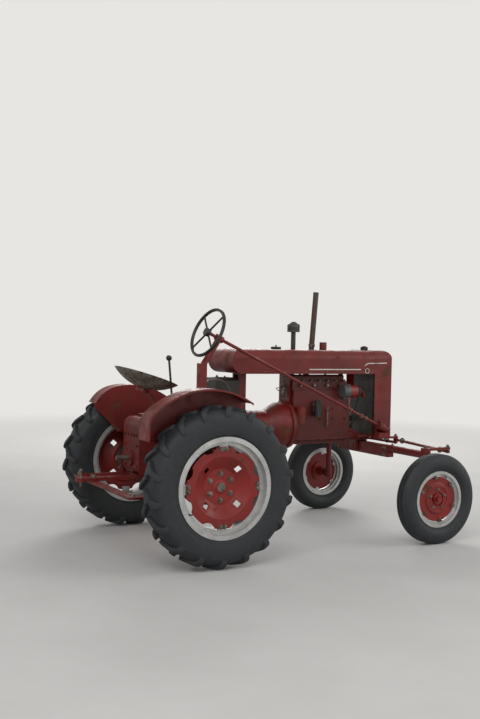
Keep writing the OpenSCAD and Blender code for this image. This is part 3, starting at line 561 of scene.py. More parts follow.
def joined(objects, name):
    """Joins objects into the first one."""
    bpy.ops.object.select_all(action="DESELECT")
    for obj in objects:
        obj.select_set(True)
    bpy.context.view_layer.objects.active = objects[0]
    if len(objects) > 1:
        bpy.ops.object.join()
    whole = bpy.context.view_layer.objects.active
    whole.name = name
    whole.data.name = name
    return whole


def copies(model, lays):
    """A copy of the model at every place. The model itself is taken away."""
    made = [copy_of(model, lay) for lay in lays]
    bpy.data.objects.remove(model)
    return made


def hand_over(
    pieces, name, key="nut", body="chassis", stands_for=(), smooth=35.0
):
    """Joins, names and finishes a new piece and seats it on its body."""
    obj = joined(pieces, name)
    settle(obj)
    bpy.ops.object.shade_smooth_by_angle(angle=math.radians(smooth))
    obj.data.materials.clear()
    obj.data.materials.append(MATERIALS[key])
    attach(obj, body)
    if stands_for:
        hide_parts(*stands_for)


def block(place, size):
    """A box by its middle and its size."""
    bpy.ops.object.select_all(action="DESELECT")
    bpy.ops.mesh.primitive_cube_add(size=1.0, location=place)
    obj = started()
    obj.scale = size
    settle(obj)
    return obj


def lone_point(place):
    """A new mesh with one point, from which an outline is extruded."""
    bpy.ops.object.select_all(action="DESELECT")
    bpy.ops.mesh.primitive_plane_add(size=0.01)
    obj = started()
    bpy.ops.object.mode_set(mode="EDIT")
    bpy.ops.mesh.select_mode(type="VERT")
    bpy.ops.mesh.select_all(action="SELECT")
    bpy.ops.mesh.merge(type="CENTER")
    bpy.ops.transform.translate(value=place)
    return obj


def extrude_by(step):
    bpy.ops.mesh.extrude_region_move(TRANSFORM_OT_translate={"value": tuple(step)})


def turned(outline, steps=32, place=None):
    """An outline of (radius, height) points, spun about Z and moved by a matrix."""
    obj = lone_point((outline[0][0], 0.0, outline[0][1]))
    for here, there in zip(outline, outline[1:]):
        extrude_by((there[0] - here[0], 0.0, there[1] - here[1]))
    bpy.ops.mesh.select_all(action="SELECT")
    bpy.ops.mesh.spin(
        steps=steps, angle=2 * math.pi, center=(0.0, 0.0, 0.0), axis=(0.0, 0.0, 1.0)
    )
    bpy.ops.mesh.select_all(action="SELECT")
    bpy.ops.mesh.remove_doubles(threshold=0.00002)
    bpy.ops.mesh.normals_make_consistent(inside=False)
    bpy.ops.object.mode_set(mode="OBJECT")
    if place is not None:
        obj.data.transform(place)
    return obj


def ribbon(points, width, thickness, start_y, outward):
    """A flat strip that follows (x, z) points on an upright side."""
    obj = lone_point((points[0][0], start_y, points[0][1] - width / 2))
    for here, there in zip(points, points[1:]):
        extrude_by((there[0] - here[0], 0.0, there[1] - here[1]))
    bpy.ops.mesh.select_all(action="SELECT")
    extrude_by((0.0, 0.0, width))
    bpy.ops.mesh.select_all(action="SELECT")
    extrude_by((0.0, outward * thickness, 0.0))
    bpy.ops.mesh.select_all(action="SELECT")
    bpy.ops.mesh.normals_make_consistent(inside=False)
    bpy.ops.object.mode_set(mode="OBJECT")
    return obj


def pipe(points, radius, handles="AUTO", sides=3):
    """A rigid tube along a curve through the points."""
    bpy.ops.object.select_all(action="DESELECT")
    bpy.ops.curve.primitive_bezier_curve_add()
    obj = started()
    spline = obj.data.splines[0]
    spline.bezier_points.add(len(points) - len(spline.bezier_points))
    for knot, place in zip(spline.bezier_points, points):
        knot.co = place
        knot.handle_left_type = handles
        knot.handle_right_type = handles
    obj.data.resolution_u = 8 if handles == "AUTO" else 1
    obj.data.bevel_depth = radius
    obj.data.bevel_resolution = sides
    obj.data.use_fill_caps = True
    bpy.ops.object.convert(target="MESH")
    return started()


def band(inner, outer, low, high):
    """The outline of a plain ring."""
    return ((inner, low), (outer, low), (outer, high), (inner, high), (inner, low))


def facing(axis, place, turn=0.0):
    """The matrix that takes Z to an axis and the origin to a place."""
    tilt = Vector(axis).to_track_quat("Z", "Y").to_matrix().to_4x4()
    return Matrix.Translation(place) @ tilt @ Matrix.Rotation(turn, 4, "Z")


# Shares of a hexagon's width across its flats
HEX_CORNER = 0.577
HEX_HEIGHT = 0.62
HEX_CHAMFER = (0.09, 0.05)


def hex_bolt(across):
    """A hexagonal head with a chamfered top on a round washer."""
    height = HEX_HEIGHT * across
    bpy.ops.object.select_all(action="DESELECT")
    bpy.ops.mesh.primitive_cylinder_add(
        vertices=6, radius=across * HEX_CORNER, depth=height,
        location=(0.0, 0.0, height / 2),
    )
    head = started()
    settle(head)
    pick(head, lambda middle, normal: normal.z > 0.9, "FACE")
    inset, rise = HEX_CHAMFER
    bpy.ops.mesh.inset(thickness=across * inset)
    bpy.ops.transform.translate(value=(0.0, 0.0, across * rise))
    bpy.ops.object.mode_set(mode="OBJECT")
    washer = turned(
        ((0.0, -0.08 * across), (0.78 * across, -0.08 * across),
         (0.78 * across, 0.08 * across), (0.72 * across, 0.13 * across),
         (0.0, 0.13 * across)),
        14,
    )
    return joined([head, washer], "bolt_head")


def hex_nut(across):
    """A nut on its stud, with the stud's end standing out of it."""
    nut = hex_bolt(across)
    stud = turned(
        ((0.0, 0.0), (0.28 * across, 0.0), (0.28 * across, 0.9 * across),
         (0.22 * across, 0.98 * across), (0.0, 0.98 * across)),
        10,
    )
    return joined([nut, stud], "stud_nut")


def round_head(across):
    """A low domed screw or rivet head."""
    half = across / 2
    return turned(
        ((0.0, -0.1 * half), (half, -0.1 * half), (half, 0.12 * half), (0.86 * half, 0.4 * half),
         (0.55 * half, 0.6 * half), (0.2 * half, 0.68 * half), (0.0, 0.68 * half)),
        12,
    )


HEADS = {"bolt": hex_bolt, "nut": hex_nut, "round": round_head}


def landing(node, start, direction):
    """Where a straight line from outside meets a solid."""
    hit, place = NODES[node].ray_cast(Vector(start), Vector(direction))[:2]
    if not hit:
        raise RuntimeError(f"no surface of {node} from {tuple(start)} along {tuple(direction)}")
    return place


# How far each head is turned past the one before it, in radians
HEAD_TURN = 0.8


def studded(name, kind, across, rows, key="nut", body="chassis"):
    """One piece of like heads, each seated where its row's line meets a solid.

    A row without a solid gives the seat itself.
    """
    lays = []
    for number, (node, start, direction) in enumerate(rows):
        direction = Vector(direction).normalized()
        place = landing(node, start, direction) if node else Vector(start)
        lays.append(facing(-direction, place, HEAD_TURN * number))
    hand_over(copies(HEADS[kind](across), lays), name, key, body)


def red_bolts(name, across, rows, key="red"):
    studded(name, "bolt", across, rows, key, "chassis")


def ring_rows(node, centre, radius, angles, direction):
    """Rows that start on a circle outside the solid.

    Angles are in degrees from ahead, or from the left where the rows run ahead or
    astern, and turn upward.
    """
    across = LEFTWARD if abs(direction.x) > 0.5 else AHEAD
    rows = []
    for angle in angles:
        turn = math.radians(angle)
        spot = Vector(centre) + radius * (math.cos(turn) * across + math.sin(turn) * UP)
        rows.append((node, spot, direction))
    return rows


def line_rows(node, first, last, count, direction):
    """Rows spread evenly from a first to a last point outside the solid."""
    first, last = Vector(first), Vector(last)
    return [(node, first.lerp(last, i / (count - 1)), direction) for i in range(count)]


def wheel_spot(hub, side, radius, angle, outward):
    """A place on a wheel, by its angle from ahead upward and its distance outboard."""
    turn = math.radians(angle)
    return Vector(
        (
            hub.x + radius * math.cos(turn),
            SIGN[side] * (hub.y + outward),
            hub.z + radius * math.sin(turn),
        )
    )


def wheel_place(hub, side):
    """The matrix that takes Z to the wheel's axis, outboard, and the origin to its middle."""
    middle = Vector((hub.x, SIGN[side] * hub.y, hub.z))
    return Matrix.Translation(middle) @ Matrix.Rotation(-SIGN[side] * math.pi / 2, 4, "X")


def inward(side):
    return Vector((0.0, -SIGN[side], 0.0))


def both_halves(half):
    """A half outline and its mirror image, as one closed loop."""
    mirrored = [(radius, -offset) for radius, offset in reversed(half) if offset]
    return [*half, *mirrored, half[0]]


# Tyres. Columns: radius, distance from the middle plane

REAR_CASING = (
    (0.3062, 0.0972), (0.3325, 0.0974), (0.3350, 0.1015), (0.3420, 0.1045),
    (0.3440, 0.1072), (0.3480, 0.1084), (0.3500, 0.1070), (0.3600, 0.1100),
    (0.3800, 0.1135), (0.4050, 0.1146), (0.4300, 0.1144), (0.4500, 0.1122),
    (0.4660, 0.1072), (0.4800, 0.0970), (0.4895, 0.0830), (0.4955, 0.0650),
    (0.4978, 0.0400), (0.4985, 0.0000),
)

FRONT_CASING = (
    (0.1912, 0.0403), (0.2085, 0.0406), (0.2110, 0.0450), (0.2160, 0.0482),
    (0.2175, 0.0510), (0.2215, 0.0528), (0.2235, 0.0522), (0.2320, 0.0600),
    (0.2440, 0.0660), (0.2600, 0.0680), (0.2760, 0.0674), (0.2920, 0.0645),
    (0.3060, 0.0580), (0.3170, 0.0480), (0.3235, 0.0400), (0.3262, 0.0372),
    (0.3292, 0.0350), (0.3303, 0.0320), (0.3306, 0.0190), (0.3245, 0.0172),
    (0.3245, 0.0128), (0.3306, 0.0110), (0.3309, 0.0000),
)

# A tread bar from the middle of the tread to the shoulder.
# Columns: distance outboard, how far it trails, radius of its top, radius of its foot
LUG_ROWS = (
    (-0.0090, -0.0340, 0.5220, 0.486), (0.0100, -0.0215, 0.5220, 0.486),
    (0.0290, -0.0060, 0.5220, 0.486), (0.0480, 0.0090, 0.5218, 0.484),
    (0.0660, 0.0225, 0.5205, 0.478), (0.0830, 0.0330, 0.5165, 0.468),
    (0.0980, 0.0405, 0.5060, 0.458), (0.1080, 0.0445, 0.4910, 0.452),
    (0.1135, 0.0460, 0.4740, 0.450),
)
# Angle of the first bar ahead of the axle, in degrees, which stands a bar straight down
LUG_START = 4.094
# Faces round a tyre
TYRE_STEPS = 96


# A row of the bar that is in place waits this far off, where no test picks it again
LUG_ASIDE = 10.0


def make_lug():
    """One tread bar, as it lies at the top of the wheel, outboard along +Y."""
    obj = block((0.0, 0.5, 0.5), (1.0, 1.0, 1.0))
    pick(obj, lambda middle, run: abs(run.y) > 0.5, "EDGE")
    bpy.ops.mesh.subdivide(number_cuts=len(LUG_ROWS) - 2)
    width = size_settings().lug_width
    pick(obj, lambda point: True)
    bpy.ops.transform.resize(value=(width, 1.0, 1.0), center_override=(0.0, 0.0, 0.0))
    steps = len(LUG_ROWS) - 1
    for number, (_, _, top, foot) in enumerate(LUG_ROWS):
        level = number / steps
        pick(obj, lambda p, level=level: abs(p.y - level) < 1e-3 and p.z > 0.5)
        bpy.ops.transform.translate(value=(0.0, 0.0, top - 1.0))
        pick(obj, lambda p, level=level: abs(p.y - level) < 1e-3 and p.z < 0.2)
        bpy.ops.transform.translate(value=(0.0, 0.0, foot))
    for number, (outward, trail, _, _) in enumerate(LUG_ROWS):
        level = number / steps
        pick(obj, lambda p, level=level: abs(p.y - level) < 1e-3)
        bpy.ops.transform.translate(value=(-trail, LUG_ASIDE + outward - level, 0.0))
    pick(obj, lambda point: True)
    bpy.ops.transform.translate(value=(0.0, -LUG_ASIDE, 0.0))
    bpy.ops.object.mode_set(mode="OBJECT")
    use_modifier(
        obj, "BEVEL", width=0.005, segments=3, limit_method="ANGLE",
        angle_limit=math.radians(50.0),
    )
    return obj


def make_rear_tyre(side):
    """A rear tyre with a rounded casing and curved bars that meet in a V."""
    casing = turned(both_halves(REAR_CASING), TYRE_STEPS, wheel_place(REAR_HUB, side))
    count = size_settings().rear_lugs
    middle = Matrix.Translation((REAR_HUB.x, SIGN[side] * REAR_HUB.y, REAR_HUB.z))
    lays = []
    for half in (0, 1):
        mirror = Matrix.Scale(SIGN[side] * (-1 if half else 1), 4, (0.0, 1.0, 0.0))
        for number in range(count):
            angle = LUG_START + (number + half / 2) * 360.0 / count
            spin = Matrix.Rotation(math.radians(90.0 - angle), 4, "Y")
            lays.append(middle @ spin @ mirror)
    hand_over(
        [casing, *copies(make_lug(), lays)], "rear_tyre_rubber_" + side, "rubber",
        "rear_wheel_" + side, ("rear_tyre_" + side,), 32.0,
    )


def make_front_tyre(side):
    """A front tyre with three ribs round its tread."""
    tyre = turned(both_halves(FRONT_CASING), TYRE_STEPS, wheel_place(FRONT_HUB, side))
    hand_over(
        [tyre], "front_tyre_rubber_" + side, "rubber", "front_wheel_" + side,
        ("front_tyre_" + side,), 30.0,
    )


# Wheels


def valve_stem(hub, side, radius, angle, outward):
    """A rubber valve stem with its metal cap, pointing outboard and to the hub."""
    foot = wheel_spot(hub, side, radius, angle, outward)
    tip = wheel_spot(hub, side, radius - 0.014, angle, outward + 0.04)
    outline = (
        (0.0, 0.0), (0.0075, 0.0), (0.0065, 0.004), (0.0042, 0.012), (0.0038, 0.024),
        (0.0044, 0.025), (0.0044, 0.038), (0.003, 0.041), (0.0, 0.041),
    )
    return turned(outline, 14, facing(tip - foot, foot))


# Radius and height of the middle of a rear disc's windows, and the slope they lie on
WINDOW_PLACE = (0.160, 0.0466)
WINDOW_SLOPE = math.radians(30.3)


WINDOW_STRETCH = 1.17


def make_window_frames(side):
    """Raised borders round the four square windows of a rear disc."""
    border = turned(
        ((0.0252, -0.004), (0.0385, -0.004), (0.0385, 0.0022), (0.0370, 0.0042),
         (0.0268, 0.0042), (0.0252, 0.0022), (0.0252, -0.004)),
        4,
    )
    radius, height = WINDOW_PLACE
    lays = [
        wheel_place(REAR_HUB, side)
        @ Matrix.Rotation(math.radians(angle), 4, "Z")
        @ Matrix.Translation((radius, 0.0, height))
        @ Matrix.Rotation(-WINDOW_SLOPE, 4, "Y")
        @ Matrix.Scale(WINDOW_STRETCH, 4, (1.0, 0.0, 0.0))
        @ Matrix.Rotation(math.radians(45.0), 4, "Z")
        for angle in range(45, 360, 90)
    ]
    hand_over(
        copies(border, lays), "window_frames_" + side, "sunlit_red",
        "rear_wheel_" + side, (), 20.0,
    )


# Middle of the first clamp on a front disc, its size and its angle, which the nuts share
CLAMP_PLACE = (0.1585, 0.0, 0.0215)
CLAMP_SIZE = (0.031, 0.030, 0.009)
CLAMP_ANGLES = range(39, 399, 60)


def make_front_clamps(side):
    """Six rim clamps and a raised rib on a front disc."""
    place = wheel_place(FRONT_HUB, side)
    clamp = block(CLAMP_PLACE, CLAMP_SIZE)
    pick(clamp, lambda p: p.x > CLAMP_PLACE[0])
    bpy.ops.transform.resize(value=(1.0, 0.66, 1.0), center_override=CLAMP_PLACE)
    bpy.ops.object.mode_set(mode="OBJECT")
    use_modifier(clamp, "BEVEL", width=0.0022, segments=2)
    lays = [
        place @ Matrix.Rotation(math.radians(angle), 4, "Z") for angle in CLAMP_ANGLES
    ]
    rib = turned(
        ((0.0860, 0.0225), (0.1060, 0.0225), (0.1060, 0.0270), (0.1030, 0.0295),
         (0.0890, 0.0295), (0.0860, 0.0270), (0.0860, 0.0225)),
        72,
        place,
    )
    hand_over(
        [*copies(clamp, lays), rib], "front_clamps_" + side, "sunlit_red",
        "front_wheel_" + side,
    )


# Nuts and screws on the wheels' discs.
# Columns: name, head, width across it, radius, angles from ahead upward
REAR_STUDS = (
    ("rear_clamp_nuts_", "nut", 0.021, 0.249,
     [quarter + spread for quarter in range(0, 360, 90) for spread in (-3.5, 3.5)]),
    ("rear_hub_nuts_", "nut", 0.024, 0.085, range(30, 390, 60)),
)
FRONT_STUDS = (
    ("front_hub_bolts_", "bolt", 0.017, 0.071, range(18, 378, 72)),
    ("front_cap_screws_", "round", 0.009, 0.033, range(45, 405, 90)),
)
# How far outboard of a wheel's middle plane the lines to its disc start
STUD_REACH = 0.2


def disc_studs(table, hub, end, side):
    """Seats a table's heads on the disc of one wheel at the front or the rear."""
    for name, head, across, radius, angles in table:
        rows = [
            (f"{end}_disc_{side}", wheel_spot(hub, side, radius, angle, STUD_REACH),
             inward(side))
            for angle in angles
        ]
        studded(name + side, head, across, rows, "nut", f"{end}_wheel_{side}")


def make_valve(end, hub, side, radius, angle, outward):
    stem = valve_stem(hub, side, radius, angle, outward)
    hand_over([stem], f"{end}_valve_{side}", "belt", f"{end}_wheel_{side}")


def dress_rear_wheel(side):
    """Window frames, clamp and hub nuts, a hub collar and a valve for one rear wheel."""
    make_window_frames(side)
    disc_studs(REAR_STUDS, REAR_HUB, "rear", side)
    along = inward(side)
    start = wheel_spot(REAR_HUB, side, 0.035, 80.0, STUD_REACH)
    face = abs(landing("rear_axle_" + side, start, along).y) - REAR_HUB.y
    collar = turned(
        ((0.0215, -0.001), (0.043, -0.001), (0.046, 0.002), (0.046, 0.006),
         (0.040, 0.009), (0.033, 0.013), (0.0215, 0.014), (0.0215, -0.001)),
        40,
        facing(-along, wheel_spot(REAR_HUB, side, 0.0, 0.0, face)),
    )
    name = "rear_hub_collar_" + side
    hand_over([collar], name, "sunlit_red", "rear_wheel_" + side)
    make_valve("rear", REAR_HUB, side, 0.285, 214.0, 0.058)


def dress_front_wheel(side):
    """Clamps and their nuts, hub bolts, cap screws and a valve for one front wheel."""
    make_front_clamps(side)
    turn = -SIGN[side]
    rows = [
        (None, wheel_spot(FRONT_HUB, side, 0.1565, turn * angle, 0.026), inward(side))
        for angle in CLAMP_ANGLES
    ]
    studded("front_clamp_nuts_" + side, "nut", 0.019, rows, "nut", "front_wheel_" + side)
    disc_studs(FRONT_STUDS, FRONT_HUB, "front", side)
    between = turn * (CLAMP_ANGLES.start + CLAMP_ANGLES.step / 2)
    make_valve("front", FRONT_HUB, side, 0.180, between, 0.012)


# Rear end


CASE_FLANGE_Y = 0.530
CASE_FLANGE_HALF = 0.009
# Radius and height of the flange's lower and upper rounds
CASE_LOW = (0.161, REAR_AXLE_Z)
CASE_HIGH = (0.111, 0.645)


def make_case_flange(side):
    """The bolted rib round one drop case's split line."""
    bpy.ops.object.select_all(action="DESELECT")
    bpy.ops.mesh.primitive_cylinder_add(
        vertices=64, radius=CASE_LOW[0], depth=2 * CASE_FLANGE_HALF,
        location=(REAR_HUB.x, SIGN[side] * CASE_FLANGE_Y, CASE_LOW[1]),
        rotation=(math.pi / 2, 0.0, 0.0),
    )
    flange = started()
    settle(flange)
    pick(flange, lambda p: p.z > CASE_LOW[1] + 0.001)
    ratio = CASE_HIGH[0] / CASE_LOW[0]
    bpy.ops.transform.resize(
        value=(ratio, 1.0, ratio), center_override=(REAR_HUB.x, 0.0, CASE_LOW[1])
    )
    bpy.ops.transform.translate(value=(0.0, 0.0, CASE_HIGH[1] - CASE_LOW[1]))
    bpy.ops.object.mode_set(mode="OBJECT")
    use_modifier(
        flange, "BEVEL", width=0.002, segments=2, limit_method="ANGLE",
        angle_limit=math.radians(50.0),
    )
    return flange


# How far inside the rib's edge its bolts sit, and the angles of those on the upper round
CASE_BOLT_INSET = 0.0055
CASE_HIGH_ANGLES = (40, 140)


def case_rows():
    """Bolts on the outboard face of the drop cases' ribs."""
    rows = []
    for side in SIDES:
        seat_y = SIGN[side] * (CASE_FLANGE_Y + CASE_FLANGE_HALF)
        for angle in (*range(-190, 11, 25), *CASE_HIGH_ANGLES):
            radius, height = CASE_HIGH if angle in CASE_HIGH_ANGLES else CASE_LOW
            turn = math.radians(angle)
            radius -= CASE_BOLT_INSET
            spot = (
                REAR_HUB.x + radius * math.cos(turn), seat_y,
                height + radius * math.sin(turn),
            )
            rows.append((None, spot, inward(side)))
    return rows


def cap_rows():
    """Bolts of the axle housings' outer ends and of the caps beside the main case."""
    rows = []
    for side in SIDES:
        hub = (REAR_HUB.x, SIGN[side] * 0.65, REAR_AXLE_Z)
        rows += ring_rows("final_drives", hub, 0.078, range(0, 360, 45), inward(side))
    for start_y, direction in ((0.435, RIGHTWARD), (-0.005, LEFTWARD)):
        centre = (REAR_HUB.x, start_y, CASE_HIGH[1])
        rows += ring_rows("final_drives", centre, 0.081, range(15, 360, 45), direction)
    return rows


# Columns: leftward, height
REAR_COVER_BOLTS = (
    (0.107, 0.770), (0.107, 0.695), (0.107, 0.545), (0.323, 0.770), (0.323, 0.695),
    (0.323, 0.545), (0.215, 0.770), (0.160, 0.770), (0.270, 0.770),
)


def transmission_rows():
    """Bolts of the rear cover, the top cover and the flange at the torque tube."""
    rows = [("transmission_case", (-1.10, y, z), AHEAD) for y, z in REAR_COVER_BOLTS]
    for y in (0.129, 0.301):
        rows += line_rows("transmission_case", (-0.872, y, 1.0), (-0.519, y, 1.0), 5, DOWN)
    flange = (-0.36, ENGINE_Y, CRANK_Z)
    return rows + ring_rows("torque_tube", flange, 0.153, range(18, 360, 36), ASTERN)


def bell_rows():
    """Bolts between the torque tube's bell and the engine."""
    bell = (0.285, ENGINE_Y, CRANK_Z)
    return ring_rows("torque_tube", bell, 0.184, range(0, 360, 30), AHEAD)


# Columns: forward, leftward
DRAWBAR_TOP_BOLTS = (
    (-1.2505, 0.182), (-1.2505, 0.218), (-1.2405, -0.535), (-1.2405, -0.505),
    (-1.2405, 0.505), (-1.2405, 0.535),
)


def drawbar_rows():
    """Nuts on the drawbar's crosspiece and on the plates that carry it."""
    rows = [("drawbar", (x, y, 0.56), DOWN) for x, y in DRAWBAR_TOP_BOLTS]
    for side in SIDES:
        for z in (0.485, 0.54):
            rows.append(("drawbar", (-1.0, SIGN[side] * 0.53, z), AHEAD))
    return rows


HITCH_PLACE = (-1.3435, 0.200, 0.473)


def make_hitch_pin():
    """A loose pin with a collar and a knob in the drawbar's hole."""
    pin = turned(
        ((0.0, -0.064), (0.0050, -0.064), (0.0100, -0.056), (0.0100, -0.001),
         (0.0180, 0.0005), (0.0180, 0.0070), (0.0165, 0.0080), (0.0080, 0.0085),
         (0.0080, 0.0410), (0.0105, 0.0440), (0.0130, 0.0500), (0.0130, 0.0545),
         (0.0100, 0.0610), (0.0040, 0.0645), (0.0, 0.0650)),
        28,
        Matrix.Translation(HITCH_PLACE),
    )
    hand_over([pin], "hitch_pin")


OIL_PLUGS = (
    ("transmission_case", (-0.6175, -0.03, 0.70), LEFTWARD),
    ("transmission_case", (-0.6175, 0.46, 0.70), RIGHTWARD),
    ("transmission_case", (-0.75, ENGINE_Y, 0.42), UP),
)


def make_rear_end():
    make_hitch_pin()
    flanges = [make_case_flange(side) for side in SIDES]
    hand_over(flanges, "case_flanges", "red", "chassis")
    red_bolts("case_bolts", 0.0125, case_rows())
    red_bolts("housing_bolts", 0.016, cap_rows())
    red_bolts("cover_bolts", 0.016, transmission_rows())
    red_bolts("bell_bolts", 0.0115, bell_rows())
    studded("drawbar_bolts", "nut", 0.022, drawbar_rows())
    studded("oil_plugs", "bolt", 0.03, OIL_PLUGS)


# Engine


PAN_RAIL_Z = 0.695


PAN_RAIL_SIZE = (0.548, 0.226, 0.012)
PAN_BOLT_PITCH = 0.0622


def make_pan_rail():
    """The flange between the block and its pan."""
    rail = block((0.606, ENGINE_Y, PAN_RAIL_Z), PAN_RAIL_SIZE)
    use_modifier(rail, "BEVEL", width=0.002, segments=2)
    hand_over([rail], "pan_rail", "dark_red", "chassis")


def pan_rows():
    """Bolts along both edges of the pan's rail, from below."""
    under = PAN_RAIL_Z - PAN_RAIL_SIZE[2] / 2
    return [
        (None, (0.36 + PAN_BOLT_PITCH * number, y, under), UP)
        for y in (0.1075, 0.3225)
        for number in range(9)
    ]


def block_rows():
    """Screws of the crankcase cover and the timing cover."""
    rows = [
        ("engine_block", (x, 0.02, z), LEFTWARD)
        for x in (0.602, 0.72, 0.838)
        for z in (0.852, 0.932)
    ]
    for height, radius, angles in (
        (0.780, 0.070, (0, 30, 150, 180, 210, 330)), (0.887, 0.047, (20, 65, 115, 160)),
    ):
        centre = (0.9065, ENGINE_Y, height)
        rows += ring_rows("engine_block", centre, radius, angles, ASTERN)
    return rows


def head_rows():
    """Nuts along both edges of the head and on top of its cover."""
    rows = []
    for y in (0.1405, 0.2895):
        rows += line_rows("cylinder_head", (0.372, y, 1.19), (0.848, y, 1.19), 7, DOWN)
    for x in (0.47, 0.71):
        rows.append(("cylinder_head", (x, ENGINE_Y, 1.3), DOWN))
    return rows


PLUG_STARTS = (0.422, 0.547, 0.672, 0.797)


PLUG_AXIS = Vector((0.0, -30.0, -10.0)).normalized()
# Radius and height from the seat
PLUG_CLAY = (
    (0.0, 0.006), (0.0055, 0.006), (0.0055, 0.0118), (0.0045, 0.0125), (0.0055, 0.0132),
    (0.0045, 0.0142), (0.0052, 0.0150), (0.0040, 0.0165), (0.0040, 0.0185), (0.0, 0.0185),
)
PLUG_TERMINAL = (
    (0.0, 0.0180), (0.0026, 0.0180), (0.0026, 0.0200), (0.0032, 0.0205),
    (0.0032, 0.0222), (0.0018, 0.0230), (0.0, 0.0230),
)


def make_plugs():
    """Four spark plugs: a hexagon, a ribbed clay body and a terminal each."""
    shells = []
    clays = []
    for x in PLUG_STARTS:
        seat = facing(PLUG_AXIS, (x, 0.123, 1.122))
        shells += copies(hex_bolt(0.0175), [seat])
        clays.append(turned(PLUG_CLAY, 16, seat))
        shells.append(turned(PLUG_TERMINAL, 12, seat))
    hand_over(shells, "plug_shells")
    hand_over(clays, "plug_clays", "ceramic", "chassis")


# From the sediment bowl to the carburettor
FUEL_LINE = (
    (0.2970, 0.2160, 1.0980), (0.2970, 0.2600, 1.0960), (0.3080, 0.3050, 1.0850),
    (0.3500, 0.3170, 1.0640), (0.4300, 0.3170, 1.0600), (0.5400, 0.3170, 1.0600),
    (0.6350, 0.3170, 1.0580), (0.6620, 0.3200, 1.0350), (0.6680, 0.3350, 0.9800),
    (0.6740, 0.3560, 0.9450), (0.6960, 0.3630, 0.9380),
)
DIPSTICK = ((0.660, 0.116, 0.780), (0.660, 0.098, 0.795), (0.660, 0.094, 0.850),
            (0.660, 0.094, 0.925))


def end_nuts(route, across):
    """A nut at each end of a pipe's route, facing along it."""
    ends = ((route[0], route[1]), (route[-1], route[-2]))
    lays = [facing(Vector(other) - Vector(end), end) for end, other in ends]
    return copies(hex_bolt(across), lays)


def make_fuel_line():
    """A thin copper line from the sediment bowl to the carburettor, with its nuts."""
    hand_over([pipe(FUEL_LINE, 0.0032), *end_nuts(FUEL_LINE, 0.012)], "fuel_line", "copper")


def make_dipstick():
    """The oil dipstick's tube with a ring handle."""
    tube = pipe(DIPSTICK, 0.0055)
    top = Vector(DIPSTICK[-1])
    bpy.ops.object.select_all(action="DESELECT")
    bpy.ops.mesh.primitive_torus_add(
        major_radius=0.011, minor_radius=0.0019, major_segments=28, minor_segments=10,
        location=top + 0.0175 * UP, rotation=(math.pi / 2, 0.0, 0.0),
    )
    handle = started()
    settle(handle)
    cap = turned(
        ((0.0, -0.004), (0.0085, -0.004), (0.0085, 0.004), (0.006, 0.007), (0.0, 0.007)),
        20,
        Matrix.Translation(top),
    )
    hand_over([tube, handle, cap], "dipstick")


# Middle of the carburettor's bowl, seen from above, and the height of its throttle shaft
BOWL_MIDDLE = Vector((0.735, 0.365, 0.0))
THROTTLE_Z = 0.995


def make_carburettor_fittings():
    """The bowl's drain nut, throttle shaft and lever, choke disc and adjusting screws."""
    pieces = copies(hex_bolt(0.02), [facing(DOWN, BOWL_MIDDLE + 0.860 * UP)])
    pieces.append(
        turned(
            ((0.0415, 0.0), (0.0455, 0.0), (0.0465, 0.003), (0.0465, 0.009),
             (0.0455, 0.012), (0.0415, 0.012), (0.0415, 0.0)),
            40,
            Matrix.Translation(BOWL_MIDDLE + 0.952 * UP),
        )
    )
    shaft = ((0.735, 0.322, THROTTLE_Z), (0.735, 0.408, THROTTLE_Z))
    lever = ((0.735, 0.404, THROTTLE_Z), (0.712, 0.404, 1.022))
    pieces.append(pipe(shaft, 0.0045, "VECTOR"))
    pieces.append(pipe(lever, 0.004, "VECTOR"))
    pieces.append(
        turned(
            ((0.0, 0.0), (0.030, 0.0), (0.033, 0.003), (0.033, 0.020), (0.028, 0.024),
             (0.0, 0.024)),
            32,
            facing(LEFTWARD, BOWL_MIDDLE + Vector((0.0, 0.036, 0.905))),
        )
    )
    screws = [facing(LEFTWARD, (x, 0.3895, 1.045)) for x in (0.712, 0.758)]
    hand_over([*pieces, *copies(round_head(0.013), screws)], "carburettor_fittings")


# The generator's axis, at X 0
GENERATOR_LINE = Vector((0.0, 0.060, 1.075))


def make_generator_fittings():
    """Band, terminal posts and through-bolts of the generator."""
    belt = turned(
        band(0.0472, 0.0492, 0.0, 0.020), 48, facing(AHEAD, GENERATOR_LINE + 0.8005 * AHEAD)
    )
    tops = [
        facing(UP, GENERATOR_LINE + Vector((x, 0.0, 0.048))) for x in (0.815, 0.842)
    ]
    posts = copies(hex_nut(0.011), tops)
    ends = []
    for angle in (45, 225):
        turn = math.radians(angle)
        spot = GENERATOR_LINE + Vector((0.70, 0.030 * math.cos(turn), 0.030 * math.sin(turn)))
        ends.append(facing(ASTERN, landing("generator", spot, AHEAD)))
    hand_over([belt, *posts, *copies(round_head(0.010), ends)], "generator_fittings")


# The exhaust stack's axis, and where the air intake's cap has its lower band
STACK_LOW = Vector((0.5995, 0.275, 1.260))
STACK_TOP = Vector((0.6435, 0.275, 1.864))
INTAKE_BAND = (0.455, 0.305, 1.539)


def make_exhaust_clamp():
    """The clamp low on the stack, and the two bands round the air intake's cap."""
    run = STACK_TOP - STACK_LOW
    clamp = turned(band(0.0221, 0.0262, 0.0, 0.022), 40, facing(run, STACK_LOW + 0.27 * run))
    seat = facing(RIGHTWARD, STACK_LOW + 0.288 * run + 0.0255 * RIGHTWARD)
    hand_over([clamp, *copies(hex_nut(0.013), [seat])], "stack_clamp")
    lower = turned(band(0.0498, 0.0512, 0.006, 0.0105), 48, Matrix.Translation(INTAKE_BAND))
    upper = copy_of(lower, Matrix.Translation(0.040 * UP))
    hand_over([lower, upper], "intake_cap_bands", "nut", "chassis")


FIN_COUNT = 66
FIN_LOW = 0.858
FIN_PITCH = 0.0058


